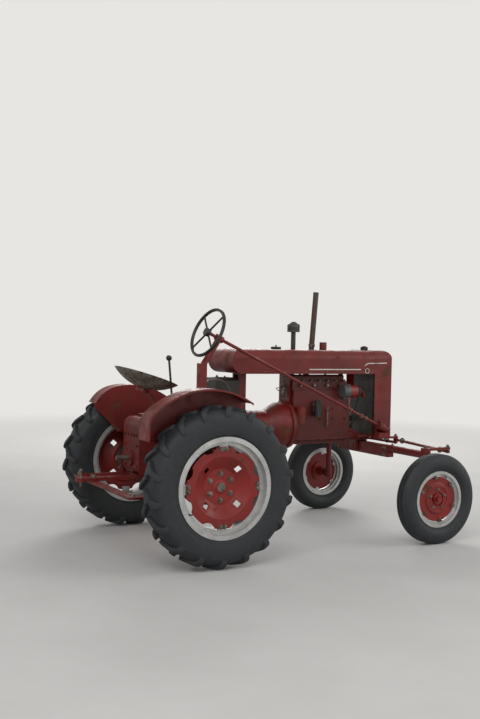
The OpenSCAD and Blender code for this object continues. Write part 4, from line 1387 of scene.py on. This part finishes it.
FIN_SIZE = (0.0560, 0.3050, 0.0011)
# Radius, height, number and spacing of the upright tubes in each of the two rows
TUBE_RADIUS = 0.0032
TUBE_HEIGHT = 0.388
TUBE_COUNT = 20
TUBE_PITCH = 0.0150


def repeated(obj, count, step):
    """Applies an array of evenly spaced copies."""
    use_modifier(
        obj, "ARRAY", count=count, use_relative_offset=False,
        use_constant_offset=True, constant_offset_displace=step,
    )


def make_radiator_fins():
    """Thin fins across the core, front and back, with upright tubes between them."""
    fin = block((1.0905, ENGINE_Y, FIN_LOW), FIN_SIZE)
    use_modifier(fin, "BEVEL", width=0.0004, segments=1)
    repeated(fin, FIN_COUNT, (0.0, 0.0, FIN_PITCH))
    tube = turned(
        ((0.0, 0.0), (TUBE_RADIUS, 0.0), (TUBE_RADIUS, TUBE_HEIGHT), (0.0, TUBE_HEIGHT)),
        8,
        Matrix.Translation((1.0635, 0.0725, FIN_LOW - 0.004)),
    )
    repeated(tube, TUBE_COUNT, (0.0, TUBE_PITCH, 0.0))
    front = copy_of(tube, Matrix.Translation(0.054 * AHEAD))
    hand_over(
        [fin, tube, front], "radiator_fins", "core", "chassis", (), 25.0
    )


UPPER_HOSE = (
    (0.8620, 0.2150, 1.1450), (0.8620, 0.2150, 1.2300), (0.8720, 0.2150, 1.2660),
    (0.9050, 0.2150, 1.2870), (0.9600, 0.2150, 1.2900), (1.0600, 0.2150, 1.2900),
)
LOWER_HOSE = (
    (0.7900, 0.3050, 0.8300), (0.8080, 0.3320, 0.8300), (0.8420, 0.3430, 0.8300),
    (0.9200, 0.3450, 0.8300), (1.0600, 0.3450, 0.8300),
)
HOSE_RADIUS = 0.0200
# Columns: place, the hose's direction there
HOSE_CLAMPS = (
    ((0.862, 0.215, 1.185), UP), ((1.040, 0.215, 1.290), AHEAD),
    ((1.040, 0.345, 0.830), AHEAD), ((0.868, 0.344, 0.830), AHEAD),
)


def make_water_hoses():
    """The two hoses between engine and radiator, with their clamps."""
    hoses = [pipe(route, HOSE_RADIUS, "AUTO", 5) for route in (UPPER_HOSE, LOWER_HOSE)]
    hand_over(hoses, "water_hoses", "belt", "chassis")
    ring = turned(band(HOSE_RADIUS, HOSE_RADIUS + 0.0022, -0.006, 0.006), 32)
    rings = copies(ring, [facing(axis, place) for place, axis in HOSE_CLAMPS])
    beside = (HOSE_RADIUS + 0.002) * LEFTWARD
    seats = [facing(LEFTWARD, Vector(place) + beside) for place, _ in HOSE_CLAMPS]
    hand_over([*rings, *copies(hex_bolt(0.009), seats)], "hose_clamps")


STRAINER_PLACE = Vector((0.297, 0.195, 1.030))


def make_strainer():
    """The fuel tank's sediment bowl, hung under the hood's lower edge."""
    bowl = turned(
        ((0.0, 0.0), (0.012, 0.0), (0.018, 0.004), (0.0205, 0.011), (0.0205, 0.056),
         (0.0235, 0.060), (0.0235, 0.074), (0.0200, 0.079), (0.0130, 0.083),
         (0.0090, 0.086), (0.0090, 0.172), (0.0170, 0.174), (0.0170, 0.200), (0.0, 0.200)),
        36,
        Matrix.Translation(STRAINER_PLACE),
    )
    tap = STRAINER_PLACE + 0.122 * UP
    valve = pipe((tap, tap + 0.034 * RIGHTWARD), 0.006, "VECTOR")
    grip = tap + 0.035 * RIGHTWARD
    handle = pipe((grip + 0.012 * ASTERN, grip + 0.012 * AHEAD), 0.0034, "VECTOR")
    hand_over([bowl, valve, handle], "sediment_bowl")


def make_ignition_cap():
    """The cap's towers, its seam and its two spring clips."""
    crown = landing("ignition_unit", (0.545, 0.065, 1.2), DOWN)
    tower = turned(
        ((0.0, -0.001), (0.0066, -0.001), (0.0060, 0.009), (0.0050, 0.0125),
         (0.0030, 0.0125), (0.0028, 0.0070), (0.0, 0.0070)),
        18,
    )
    spots = [crown]
    for angle in range(45, 360, 90):
        turn = math.radians(angle)
        spots.append(crown + 0.0190 * Vector((math.cos(turn), math.sin(turn), 0.0)))
    towers = copies(tower, [Matrix.Translation(spot) for spot in spots])
    seam = turned(
        ((0.0295, -0.032), (0.0375, -0.032), (0.0375, -0.027), (0.0360, -0.024),
         (0.0315, -0.021), (0.0295, -0.021), (0.0295, -0.032)),
        40,
        Matrix.Translation(crown),
    )
    hand_over([*towers, seam], "ignition_cap", "black", "chassis")
    clips = []
    for way in (-1.0, 1.0):
        # Columns: outward from the cap's axis, height from its crown
        bends = ((0.0370, -0.075), (0.0400, -0.045), (0.0390, -0.020), (0.0290, -0.012))
        route = [crown + Vector((way * out, 0.0, rise)) for out, rise in bends]
        clips.append(pipe(route, 0.0022))
    hand_over(clips, "ignition_clips")


def make_engine():
    make_pan_rail()
    make_water_hoses()
    make_strainer()
    make_ignition_cap()
    red_bolts("pan_bolts", 0.0135, pan_rows(), "dark_red")
    red_bolts("block_screws", 0.013, block_rows(), "dark_red")
    studded("head_nuts", "nut", 0.017, head_rows())
    make_plugs()
    make_fuel_line()
    make_dipstick()
    make_carburettor_fittings()
    make_generator_fittings()
    make_exhaust_clamp()
    make_radiator_fins()


# Hood

# Columns: forward, height
LOW_STRIPE = ((0.4300, 1.2500), (0.6700, 1.2503), (0.9180, 1.2508))
HIGH_STRIPE = ((0.9560, 1.2800), (0.9840, 1.2995), (1.0540, 1.3005))
NOSE_STRIPE = ((1.0630, 1.3007), (1.1200, 1.3020), (1.1760, 1.3040))
BADGE_PLACE = (0.9808, 1.2395)
BADGE_RADIUS = 0.0205


def make_stripes():
    """The white stripes and a round blank badge on both sides of the hood."""
    width = size_settings().stripe_width
    r = BADGE_RADIUS
    ring = (
        (r - 0.0042, -0.0005), (r, -0.0005), (r, 0.0012), (r - 0.0008, 0.0018),
        (r - 0.0034, 0.0018), (r - 0.0042, 0.0012), (r - 0.0042, -0.0005),
    )
    plate = ((0.0, -0.0005), (r - 0.0040, -0.0005), (r - 0.0040, 0.0010), (0.0, 0.0014))
    strips = []
    rings = []
    plates = []
    for side in SIDES:
        plane = ENGINE_Y + SIGN[side] * HOOD_HALF
        start = plane - SIGN[side] * 0.0006
        for points in (LOW_STRIPE, HIGH_STRIPE, NOSE_STRIPE):
            strips.append(ribbon(points, width, 0.0013, start, SIGN[side]))
        seat = facing(-inward(side), (BADGE_PLACE[0], plane, BADGE_PLACE[1]))
        rings.append(turned(ring, 48, seat))
        plates.append(turned(plate, 48, seat))
    hand_over([*strips, *rings], "hood_stripes", "stripe", "chassis")
    hand_over(plates, "badge_faces", "dark_red", "chassis")


# Screws along the sheet metal's edges.
# Columns: solid, forward and height of the first, of the last, number
HOOD_SCREWS = (
    ("hood", (0.452, 1.2305), (1.030, 1.2305), 5),
    ("fuel_tank", (0.030, 1.2305), (0.395, 1.2305), 3),
    ("grille", (1.080, 0.76), (1.080, 1.30), 5),
)


def hood_rows():
    rows = []
    for side, start in (("right", -0.05), ("left", 0.48)):
        for node, (x0, z0), (x1, z1), count in HOOD_SCREWS:
            rows += line_rows(node, (x0, start, z0), (x1, start, z1), count, inward(side))
    return rows


def make_caps():
    """Wings on the radiator cap and a vent on the fuel cap."""
    top = landing("filler_caps", (1.0905, ENGINE_Y, 1.6), DOWN)
    wing = turned(
        ((0.0, -0.020), (0.0042, -0.018), (0.0052, -0.010), (0.0052, 0.010),
         (0.0042, 0.018), (0.0, 0.020)),
        12,
    )
    over = Matrix.Translation(top + 0.002 * UP)
    flat = Matrix.Rotation(math.pi / 2, 4, "X")
    wings = copies(
        wing, [over @ Matrix.Rotation(turn, 4, "Z") @ flat for turn in (0.0, math.pi / 2)]
    )
    vent = turned(
        ((0.0, -0.001), (0.009, -0.001), (0.009, 0.003), (0.005, 0.005), (0.005, 0.009),
         (0.0075, 0.010), (0.0075, 0.013), (0.004, 0.015), (0.0, 0.015)),
        20,
        Matrix.Translation(landing("filler_caps", (0.2415, ENGINE_Y, 1.6), DOWN)),
    )
    hand_over([*wings, vent], "cap_fittings", "black", "chassis")


def make_hood():
    make_stripes()
    studded("hood_screws", "round", 0.011, hood_rows())
    make_caps()


# Steering and front axle

SHAFT_LOW = Vector((1.1465, -0.026, 0.769))
SHAFT_TOP = Vector((-0.5645, DRIVER_Y, 1.513))
SHAFT_AXIS = (SHAFT_TOP - SHAFT_LOW).normalized()
# How far along the shaft its collars and its grease nipples are
COLLARS_ALONG = (0.235, 0.285, 0.410)
NIPPLES_ALONG = (0.188, 0.342)
# The kingpins' distance from the middle, the steering arms' length, and the place of
# the pitman arm's pin, seen from above
KING_Y = 0.640
STEER_ARM = 0.215
ROD_EYE = Vector((1.325, 0.070, 0.0))
OUTER_EYE_Z = 0.655
ROD_EYE_HALF = 0.009
# An inner eye this much higher than the outer one counts as the rod's higher end
EYE_STEP = 0.002


def make_steering():
    """Collars and grease nipples on the steering shaft."""
    collar = (
        (0.0119, 0.0), (0.0165, 0.0), (0.0178, 0.003), (0.0178, 0.011), (0.0165, 0.014),
        (0.0119, 0.014), (0.0119, 0.0),
    )
    pieces = [
        turned(collar, 28, facing(SHAFT_AXIS, SHAFT_LOW + along * SHAFT_AXIS))
        for along in COLLARS_ALONG
    ]
    lays = []
    for along in NIPPLES_ALONG:
        start = SHAFT_LOW + along * SHAFT_AXIS + 0.08 * RIGHTWARD
        lays.append(facing(RIGHTWARD, landing("steering_shaft", start, LEFTWARD)))
    pieces += copies(round_head(0.010), lays)
    hand_over(pieces, "shaft_collars", "nut", "steering_column")


# Columns: forward, height, for the sides; forward, leftward, for the gear box's cover
BOLSTER_SIDE_BOLTS = (
    (0.896, 0.722), (0.896, 0.752), (0.925, 0.742), (0.975, 0.688), (1.03, 0.688),
    (1.085, 0.688),
)
GEAR_COVER_BOLTS = ((1.075, -0.047), (1.155, -0.047), (1.075, 0.002), (1.160, 0.002))


def bolster_rows():
    rows = []
    for side, start in (("right", 0.02), ("left", 0.41)):
        for x, z in BOLSTER_SIDE_BOLTS:
            rows.append(("front_bolster", (x, start, z), inward(side)))
    for x, y in GEAR_COVER_BOLTS:
        rows.append(("front_bolster", (x, y, 0.86), DOWN))
    return rows


def axle_rows():
    """Nuts on top of the axle's two joints and on its clamped ends."""
    rows = [("front_axle", (FRONT_HUB.x, y, 0.76), DOWN) for y in (-0.243, 0.488)]
    for y in (-0.195, -0.17, 0.415, 0.44):
        for z in (0.588, 0.642):
            rows.append(("front_axle", (0.96, y, z), AHEAD))
            rows.append(("front_axle", (1.14, y, z), ASTERN))
    return rows


def make_front_axle():
    red_bolts("bolster_bolts", 0.016, bolster_rows())
    studded("axle_bolts", "nut", 0.015, axle_rows())
    for side in SIDES:
        knuckle = "knuckle_" + side
        rows = [
            (knuckle, (FRONT_HUB.x + reach, SIGN[side] * KING_Y, 0.80), DOWN)
            for reach in (0.0, STEER_ARM)
        ]
        studded("knuckle_nuts_" + side, "nut", 0.021, rows, "nut", knuckle)
        make_rod_nuts(side)
    row = ("pitman_arm", (ROD_EYE.x, ROD_EYE.y, 0.80), DOWN)
    studded("pitman_nut", "nut", 0.020, [row], "nut", "pitman")


def inner_eye_z(side):
    """Height of a rod's inner eye, which is its box's top or bottom end."""
    low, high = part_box("tie_rod_" + side)
    if high.z > OUTER_EYE_Z + ROD_EYE_HALF + EYE_STEP:
        return high.z - ROD_EYE_HALF
    return low.z + ROD_EYE_HALF


def make_rod_nuts(side):
    """Lock nuts beside the two sockets of one tie rod."""
    inner = Vector((ROD_EYE.x, ROD_EYE.y, inner_eye_z(side)))
    outer = Vector((FRONT_HUB.x + STEER_ARM, SIGN[side] * KING_Y, OUTER_EYE_Z))
    run = 0.099 * (outer - inner).normalized()
    lays = [facing(run, inner + run), facing(-run, outer - run)]
    name = "rod_lock_nuts_" + side
    hand_over(copies(hex_bolt(0.031), lays), name, "nut", "tie_rod_" + side)


FAN_PLACE = (1.01, 1.060)


def make_fan_rivets():
    """Two rivets at the root of each fan blade."""
    x, height = FAN_PLACE
    rows = []
    for angle in range(0, 360, 90):
        turn = math.radians(angle)
        for radius in (0.040, 0.062):
            y = ENGINE_Y + radius * math.sin(turn)
            rows.append(("fan", (x, y, height + radius * math.cos(turn)), ASTERN))
    studded("fan_rivets", "round", 0.010, rows, "nut", "fan")


# Driver's place

PEDAL_Y = (-0.060, -0.140, -0.330)
PEDAL_LEAN = math.radians(-50.0)
SEAT_MIDDLE = Vector((-1.0335, DRIVER_Y, 1.211))
SEAT_LEAN = math.radians(17.7)
# From the steering post over to the top of the torque tube
CONDUIT = (
    (-0.5900, -0.1900, 1.1350), (-0.5450, -0.1600, 1.1700), (-0.4600, -0.1100, 1.1800),
    (-0.3673, -0.0500, 1.1661), (-0.3000, -0.0050, 1.1300), (-0.2450, 0.0500, 1.0600),
    (-0.2150, 0.1100, 0.9800), (-0.2050, 0.1450, 0.8930),
)


def make_conduit():
    """The bent metal conduit that arches from the steering post to the torque tube."""
    hand_over([pipe(CONDUIT, 0.0065), *end_nuts(CONDUIT, 0.02)], "conduit", "iron")


def make_pedal_ribs():
    """Raised grip ribs across the three pedals' pads."""
    rib = block((0.0, 0.0, 0.0055), (0.005, 0.046, 0.005))
    use_modifier(rib, "BEVEL", width=0.0015, segments=2)
    lean = Matrix.Rotation(PEDAL_LEAN, 4, "Y")
    lays = [
        Matrix.Translation((-0.2725, y, 0.8503)) @ lean @ Matrix.Translation((shift, 0, 0))
        for y in PEDAL_Y
        for shift in (-0.024, -0.012, 0.0, 0.012, 0.024)
    ]
    hand_over(copies(rib, lays), "pedal_ribs")


def seat_rows():
    """Four bolts in a square under the driver, square to the leaning seat."""
    axis = Vector((math.sin(SEAT_LEAN), 0.0, math.cos(SEAT_LEAN)))
    level = Vector((math.cos(SEAT_LEAN), 0.0, -math.sin(SEAT_LEAN)))
    rows = []
    for angle in range(45, 360, 90):
        turn = math.radians(angle)
        spread = math.cos(turn) * level + math.sin(turn) * LEFTWARD
        rows.append(("seat", SEAT_MIDDLE + 0.026 * spread + 0.05 * axis, -axis))
    return rows


# The steering post's place, seen from above
POST_PLACE = (-0.6135, DRIVER_Y)


def plate_rows():
    """Bolts of the platform, the fenders and the steering post."""
    rows = []
    for y in (-0.40, -0.12):
        rows += line_rows("platform", (-0.62, y, 0.9), (-0.20, y, 0.9), 3, DOWN)
    for side in SIDES:
        for dx in (-0.056, 0.056):
            for z in (0.79, 0.84):
                spot = (REAR_HUB.x + dx, SIGN[side] * 0.60, z)
                rows.append(("fenders", spot, -inward(side)))
    for dx in (-0.052, 0.052):
        for dy in (-0.045, 0.045):
            spot = (POST_PLACE[0] + dx, POST_PLACE[1] + dy, 0.76)
            rows.append(("steering_post", spot, DOWN))
    return rows


def crown_rows():
    """The bright bolt heads low at the back of the fenders' outer edges."""
    return [
        ("fenders", (-1.225, SIGN[side] * 0.95, 0.862), inward(side)) for side in SIDES
    ]


STRAP_THICK = 0.0024


def make_battery_trim():
    """A strap over the box's lid with a nut at each side."""
    low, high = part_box("battery_box")
    middle_x = (low.x + high.x) / 2
    depth = high.y - low.y
    strap = block(
        (middle_x, ENGINE_Y, high.z + STRAP_THICK / 2), (0.022, depth - 0.062, STRAP_THICK)
    )
    use_modifier(strap, "BEVEL", width=0.0008, segments=2)
    lays = []
    for side in SIDES:
        y = ENGINE_Y + SIGN[side] * (depth / 2 - 0.045)
        lays.append(facing(UP, (middle_x, y, high.z + STRAP_THICK)))
    nuts = copies(hex_nut(0.014), lays)
    hand_over([strap, *nuts], "battery_strap", "black", "chassis")


def make_driver_place():
    make_conduit()
    make_pedal_ribs()
    make_battery_trim()
    studded("seat_bolts", "round", 0.016, seat_rows(), "nut", "chassis")
    studded("plate_bolts", "round", 0.017, plate_rows())
    studded("crown_bolts", "round", 0.019, crown_rows(), "silver")


# Stage

# Columns: name, place, size of the lamp, power
LAMPS = (
    ("key_lamp", (-4.5, -5.0, 6.0), 5.0, 235.0),
    ("side_lamp", (5.5, -4.0, 3.5), 4.0, 110.0),
    ("low_lamp", (-0.5, -7.0, 0.9), 4.0, 60.0),
    ("back_lamp", (3.5, 6.5, 4.5), 4.0, 300.0),
)
LAMP_AIM = Vector((0.0, 0.0, 0.7))
SKY = (0.93, 0.94, 0.97)
SKY_STRENGTH = 0.36
PALE = (0.80, 0.79, 0.76)
FLOOR_SIZE = 80.0
FLOOR_TONES = ((0.60, 0.59, 0.565), (0.66, 0.65, 0.625))
# How far from the tractor the floor starts and ends its fade into the backdrop
FADE = (3.5, 11.0)


def eye_share(nodes, links):
    """One for what the camera, a reflection or a clear pane sees, else nothing."""
    path = nodes.new("ShaderNodeLightPath")
    seen = path.outputs["Is Camera Ray"]
    for kind in ("Is Glossy Ray", "Is Transmission Ray"):
        wider = nodes.new("ShaderNodeMath")
        wider.operation = "MAXIMUM"
        links.new(seen, wider.inputs[0])
        links.new(path.outputs[kind], wider.inputs[1])
        seen = wider.outputs["Value"]
    return seen


def make_world():
    """Soft sky light, seen as a plain pale backdrop."""
    world = bpy.data.worlds.new("plain_sky")
    bpy.context.scene.world = world
    world.use_nodes = True
    nodes, links = world.node_tree.nodes, world.node_tree.links
    light = next(n for n in nodes if n.type == "BACKGROUND")
    light.inputs["Color"].default_value = (*SKY, 1.0)
    light.inputs["Strength"].default_value = SKY_STRENGTH
    backdrop = nodes.new("ShaderNodeBackground")
    backdrop.inputs["Color"].default_value = (*PALE, 1.0)
    backdrop.inputs["Strength"].default_value = 1.0
    mix = nodes.new("ShaderNodeMixShader")
    links.new(eye_share(nodes, links), mix.inputs[0])
    links.new(light.outputs[0], mix.inputs[1])
    links.new(backdrop.outputs[0], mix.inputs[2])
    output = next(n for n in nodes if n.type == "OUTPUT_WORLD")
    links.new(mix.outputs[0], output.inputs["Surface"])


def floor_material():
    """A pale floor that fades into the backdrop away from the tractor."""
    wiring = Wiring("pale_floor")
    nodes, links = wiring.nodes, wiring.links
    cloud = wiring.noise(1.2, 5.0, 0.6)
    tone = wiring.mixed(wiring.level(cloud, 0.3, 0.7), *FLOOR_TONES)
    wiring.feed(tone, "Base Color")
    wiring.feed(wiring.level(cloud, 0.3, 0.7, 0.82, 0.92), "Roughness")
    far = nodes.new("ShaderNodeVectorMath")
    far.operation = "LENGTH"
    links.new(wiring.place, far.inputs[0])
    reach = nodes.new("ShaderNodeMapRange")
    reach.inputs["From Min"].default_value = FADE[0]
    reach.inputs["From Max"].default_value = FADE[1]
    links.new(far.outputs["Value"], reach.inputs["Value"])
    glow = nodes.new("ShaderNodeEmission")
    glow.inputs["Color"].default_value = (*PALE, 1.0)
    share = wiring.maths("MULTIPLY", reach.outputs["Result"], eye_share(nodes, links))
    mix = nodes.new("ShaderNodeMixShader")
    links.new(share, mix.inputs[0])
    links.new(wiring.shader.outputs[0], mix.inputs[1])
    links.new(glow.outputs[0], mix.inputs[2])
    output = next(n for n in nodes if n.type == "OUTPUT_MATERIAL")
    links.new(mix.outputs[0], output.inputs["Surface"])
    return wiring.material


def make_stage():
    """A pale floor, soft level lamps and the camera at the photograph's place."""
    bpy.ops.object.select_all(action="DESELECT")
    bpy.ops.mesh.primitive_plane_add(size=FLOOR_SIZE, location=(0.0, 0.0, 0.0))
    floor = started()
    floor.name = "floor"
    floor.data.materials.append(floor_material())
    make_world()
    for name, place, size, power in LAMPS:
        data = bpy.data.lights.new(name, "AREA")
        data.size = size
        data.energy = power
        lamp = bpy.data.objects.new(name, data)
        lamp.location = place
        lamp.rotation_euler = (LAMP_AIM - Vector(place)).to_track_quat("-Z", "Y").to_euler()
        bpy.context.scene.collection.objects.link(lamp)
    make_camera()


# The photograph's camera, as fitted to it
CAMERA_PLACE = Vector((-3.5166, -6.1019, 1.4783))
CAMERA_YAW = math.radians(28.566)
CAMERA_PITCH = math.radians(1.282)
CAMERA_ROLL = math.radians(1.199)
FOCAL_PIXELS = 936.09
FRAME_HEIGHT = 719
SENSOR = 36.0


def make_camera():
    data = bpy.data.cameras.new("camera")
    data.sensor_width = SENSOR
    data.lens = FOCAL_PIXELS / FRAME_HEIGHT * SENSOR
    data.clip_start = 0.05
    data.clip_end = 200.0
    camera = bpy.data.objects.new("camera", data)
    bpy.context.scene.collection.objects.link(camera)
    forward = Vector(
        (
            math.sin(CAMERA_YAW) * math.cos(CAMERA_PITCH),
            math.cos(CAMERA_YAW) * math.cos(CAMERA_PITCH),
            -math.sin(CAMERA_PITCH),
        )
    )
    level = Vector((math.cos(CAMERA_YAW), -math.sin(CAMERA_YAW), 0.0))
    upward = level.cross(forward)
    right = math.cos(CAMERA_ROLL) * level + math.sin(CAMERA_ROLL) * upward
    top = -math.sin(CAMERA_ROLL) * level + math.cos(CAMERA_ROLL) * upward
    turn = Matrix((right, top, -forward)).transposed()
    camera.matrix_world = Matrix.Translation(CAMERA_PLACE) @ turn.to_4x4()
    bpy.context.scene.camera = camera
    bpy.context.scene.view_settings.view_transform = "Standard"


# Operators


class TRACTOR_OT_stage(bpy.types.Operator):
    """Make the floor, the lamps and the camera"""

    bl_idname = "tractor.stage"
    bl_label = "Stage"

    def execute(self, context):
        make_stage()
        return {"FINISHED"}


class TRACTOR_OT_finishes(bpy.types.Operator):
    """Give every solid its finish"""

    bl_idname = "tractor.finishes"
    bl_label = "Finishes"

    def execute(self, context):
        MATERIALS.update(make_materials())
        for key, nodes in NODE_FINISH.items():
            for node in nodes:
                finish_node(node, key)
        return {"FINISHED"}


class TRACTOR_OT_rear_tyres(bpy.types.Operator):
    """Make the two lugged rear tyres"""

    bl_idname = "tractor.rear_tyres"
    bl_label = "Rear tyres"

    def execute(self, context):
        for side in SIDES:
            make_rear_tyre(side)
        return {"FINISHED"}


class TRACTOR_OT_front_tyres(bpy.types.Operator):
    """Make the two ribbed front tyres"""

    bl_idname = "tractor.front_tyres"
    bl_label = "Front tyres"

    def execute(self, context):
        for side in SIDES:
            make_front_tyre(side)
        return {"FINISHED"}


class TRACTOR_OT_wheel_nuts(bpy.types.Operator):
    """Make the window frames, clamps, nuts, collars and valves of the four wheels"""

    bl_idname = "tractor.wheel_nuts"
    bl_label = "Wheel nuts"

    def execute(self, context):
        for side in SIDES:
            dress_rear_wheel(side)
            dress_front_wheel(side)
        return {"FINISHED"}


class TRACTOR_OT_rear_end(bpy.types.Operator):
    """Make the drop cases' ribs, the hitch pin and the bolts of the rear end"""

    bl_idname = "tractor.rear_end"
    bl_label = "Rear end bolts"

    def execute(self, context):
        make_rear_end()
        return {"FINISHED"}


class TRACTOR_OT_engine(bpy.types.Operator):
    """Make the engine's bolts, plugs, lines, hoses, fittings and radiator fins"""

    bl_idname = "tractor.engine"
    bl_label = "Engine details"

    def execute(self, context):
        make_engine()
        make_fan_rivets()
        return {"FINISHED"}


class TRACTOR_OT_hood(bpy.types.Operator):
    """Make the hood's stripes, blank badges, screws and cap fittings"""

    bl_idname = "tractor.hood"
    bl_label = "Hood trim"

    def execute(self, context):
        make_hood()
        return {"FINISHED"}


class TRACTOR_OT_steering(bpy.types.Operator):
    """Make the collars of the steering shaft and the nuts of the front axle"""

    bl_idname = "tractor.steering"
    bl_label = "Steering and front axle"

    def execute(self, context):
        make_steering()
        make_front_axle()
        return {"FINISHED"}


class TRACTOR_OT_driver_place(bpy.types.Operator):
    """Make the conduit, pedal ribs, battery strap and plate bolts"""

    bl_idname = "tractor.driver_place"
    bl_label = "Driver's place"

    def execute(self, context):
        make_driver_place()
        return {"FINISHED"}


class TRACTOR_PT_panel(bpy.types.Panel):
    """The tractor's colours, sizes and pieces"""

    bl_label = "Tractor"
    bl_idname = "TRACTOR_PT_panel"
    bl_space_type = "VIEW_3D"
    bl_region_type = "UI"
    bl_category = "Tractor"

    def draw(self, context):
        for settings in (finish_settings(), size_settings()):
            for key in settings.__annotations__:
                self.layout.prop(settings, key)
        for operator in OPERATORS:
            self.layout.operator(operator.bl_idname)


SETTINGS = (TractorFinish, TractorSizes)
OPERATORS = (
    TRACTOR_OT_stage,
    TRACTOR_OT_finishes,
    TRACTOR_OT_rear_tyres,
    TRACTOR_OT_front_tyres,
    TRACTOR_OT_wheel_nuts,
    TRACTOR_OT_rear_end,
    TRACTOR_OT_engine,
    TRACTOR_OT_hood,
    TRACTOR_OT_steering,
    TRACTOR_OT_driver_place,
)
CLASSES = (*SETTINGS, *OPERATORS, TRACTOR_PT_panel)


def register():
    for cls in CLASSES:
        bpy.utils.register_class(cls)
    bpy.types.Scene.tractor_finish = PointerProperty(type=TractorFinish)
    bpy.types.Scene.tractor_sizes = PointerProperty(type=TractorSizes)


def unregister():
    del bpy.types.Scene.tractor_finish
    del bpy.types.Scene.tractor_sizes
    for cls in reversed(CLASSES):
        bpy.utils.unregister_class(cls)


def main():
    """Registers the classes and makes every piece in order."""
    register()
    bpy.ops.tractor.stage()
    bpy.ops.tractor.finishes()
    bpy.ops.tractor.rear_tyres()
    bpy.ops.tractor.front_tyres()
    bpy.ops.tractor.wheel_nuts()
    bpy.ops.tractor.rear_end()
    bpy.ops.tractor.engine()
    bpy.ops.tractor.hood()
    bpy.ops.tractor.steering()
    bpy.ops.tractor.driver_place()


if __name__ == "__main__":
    main()
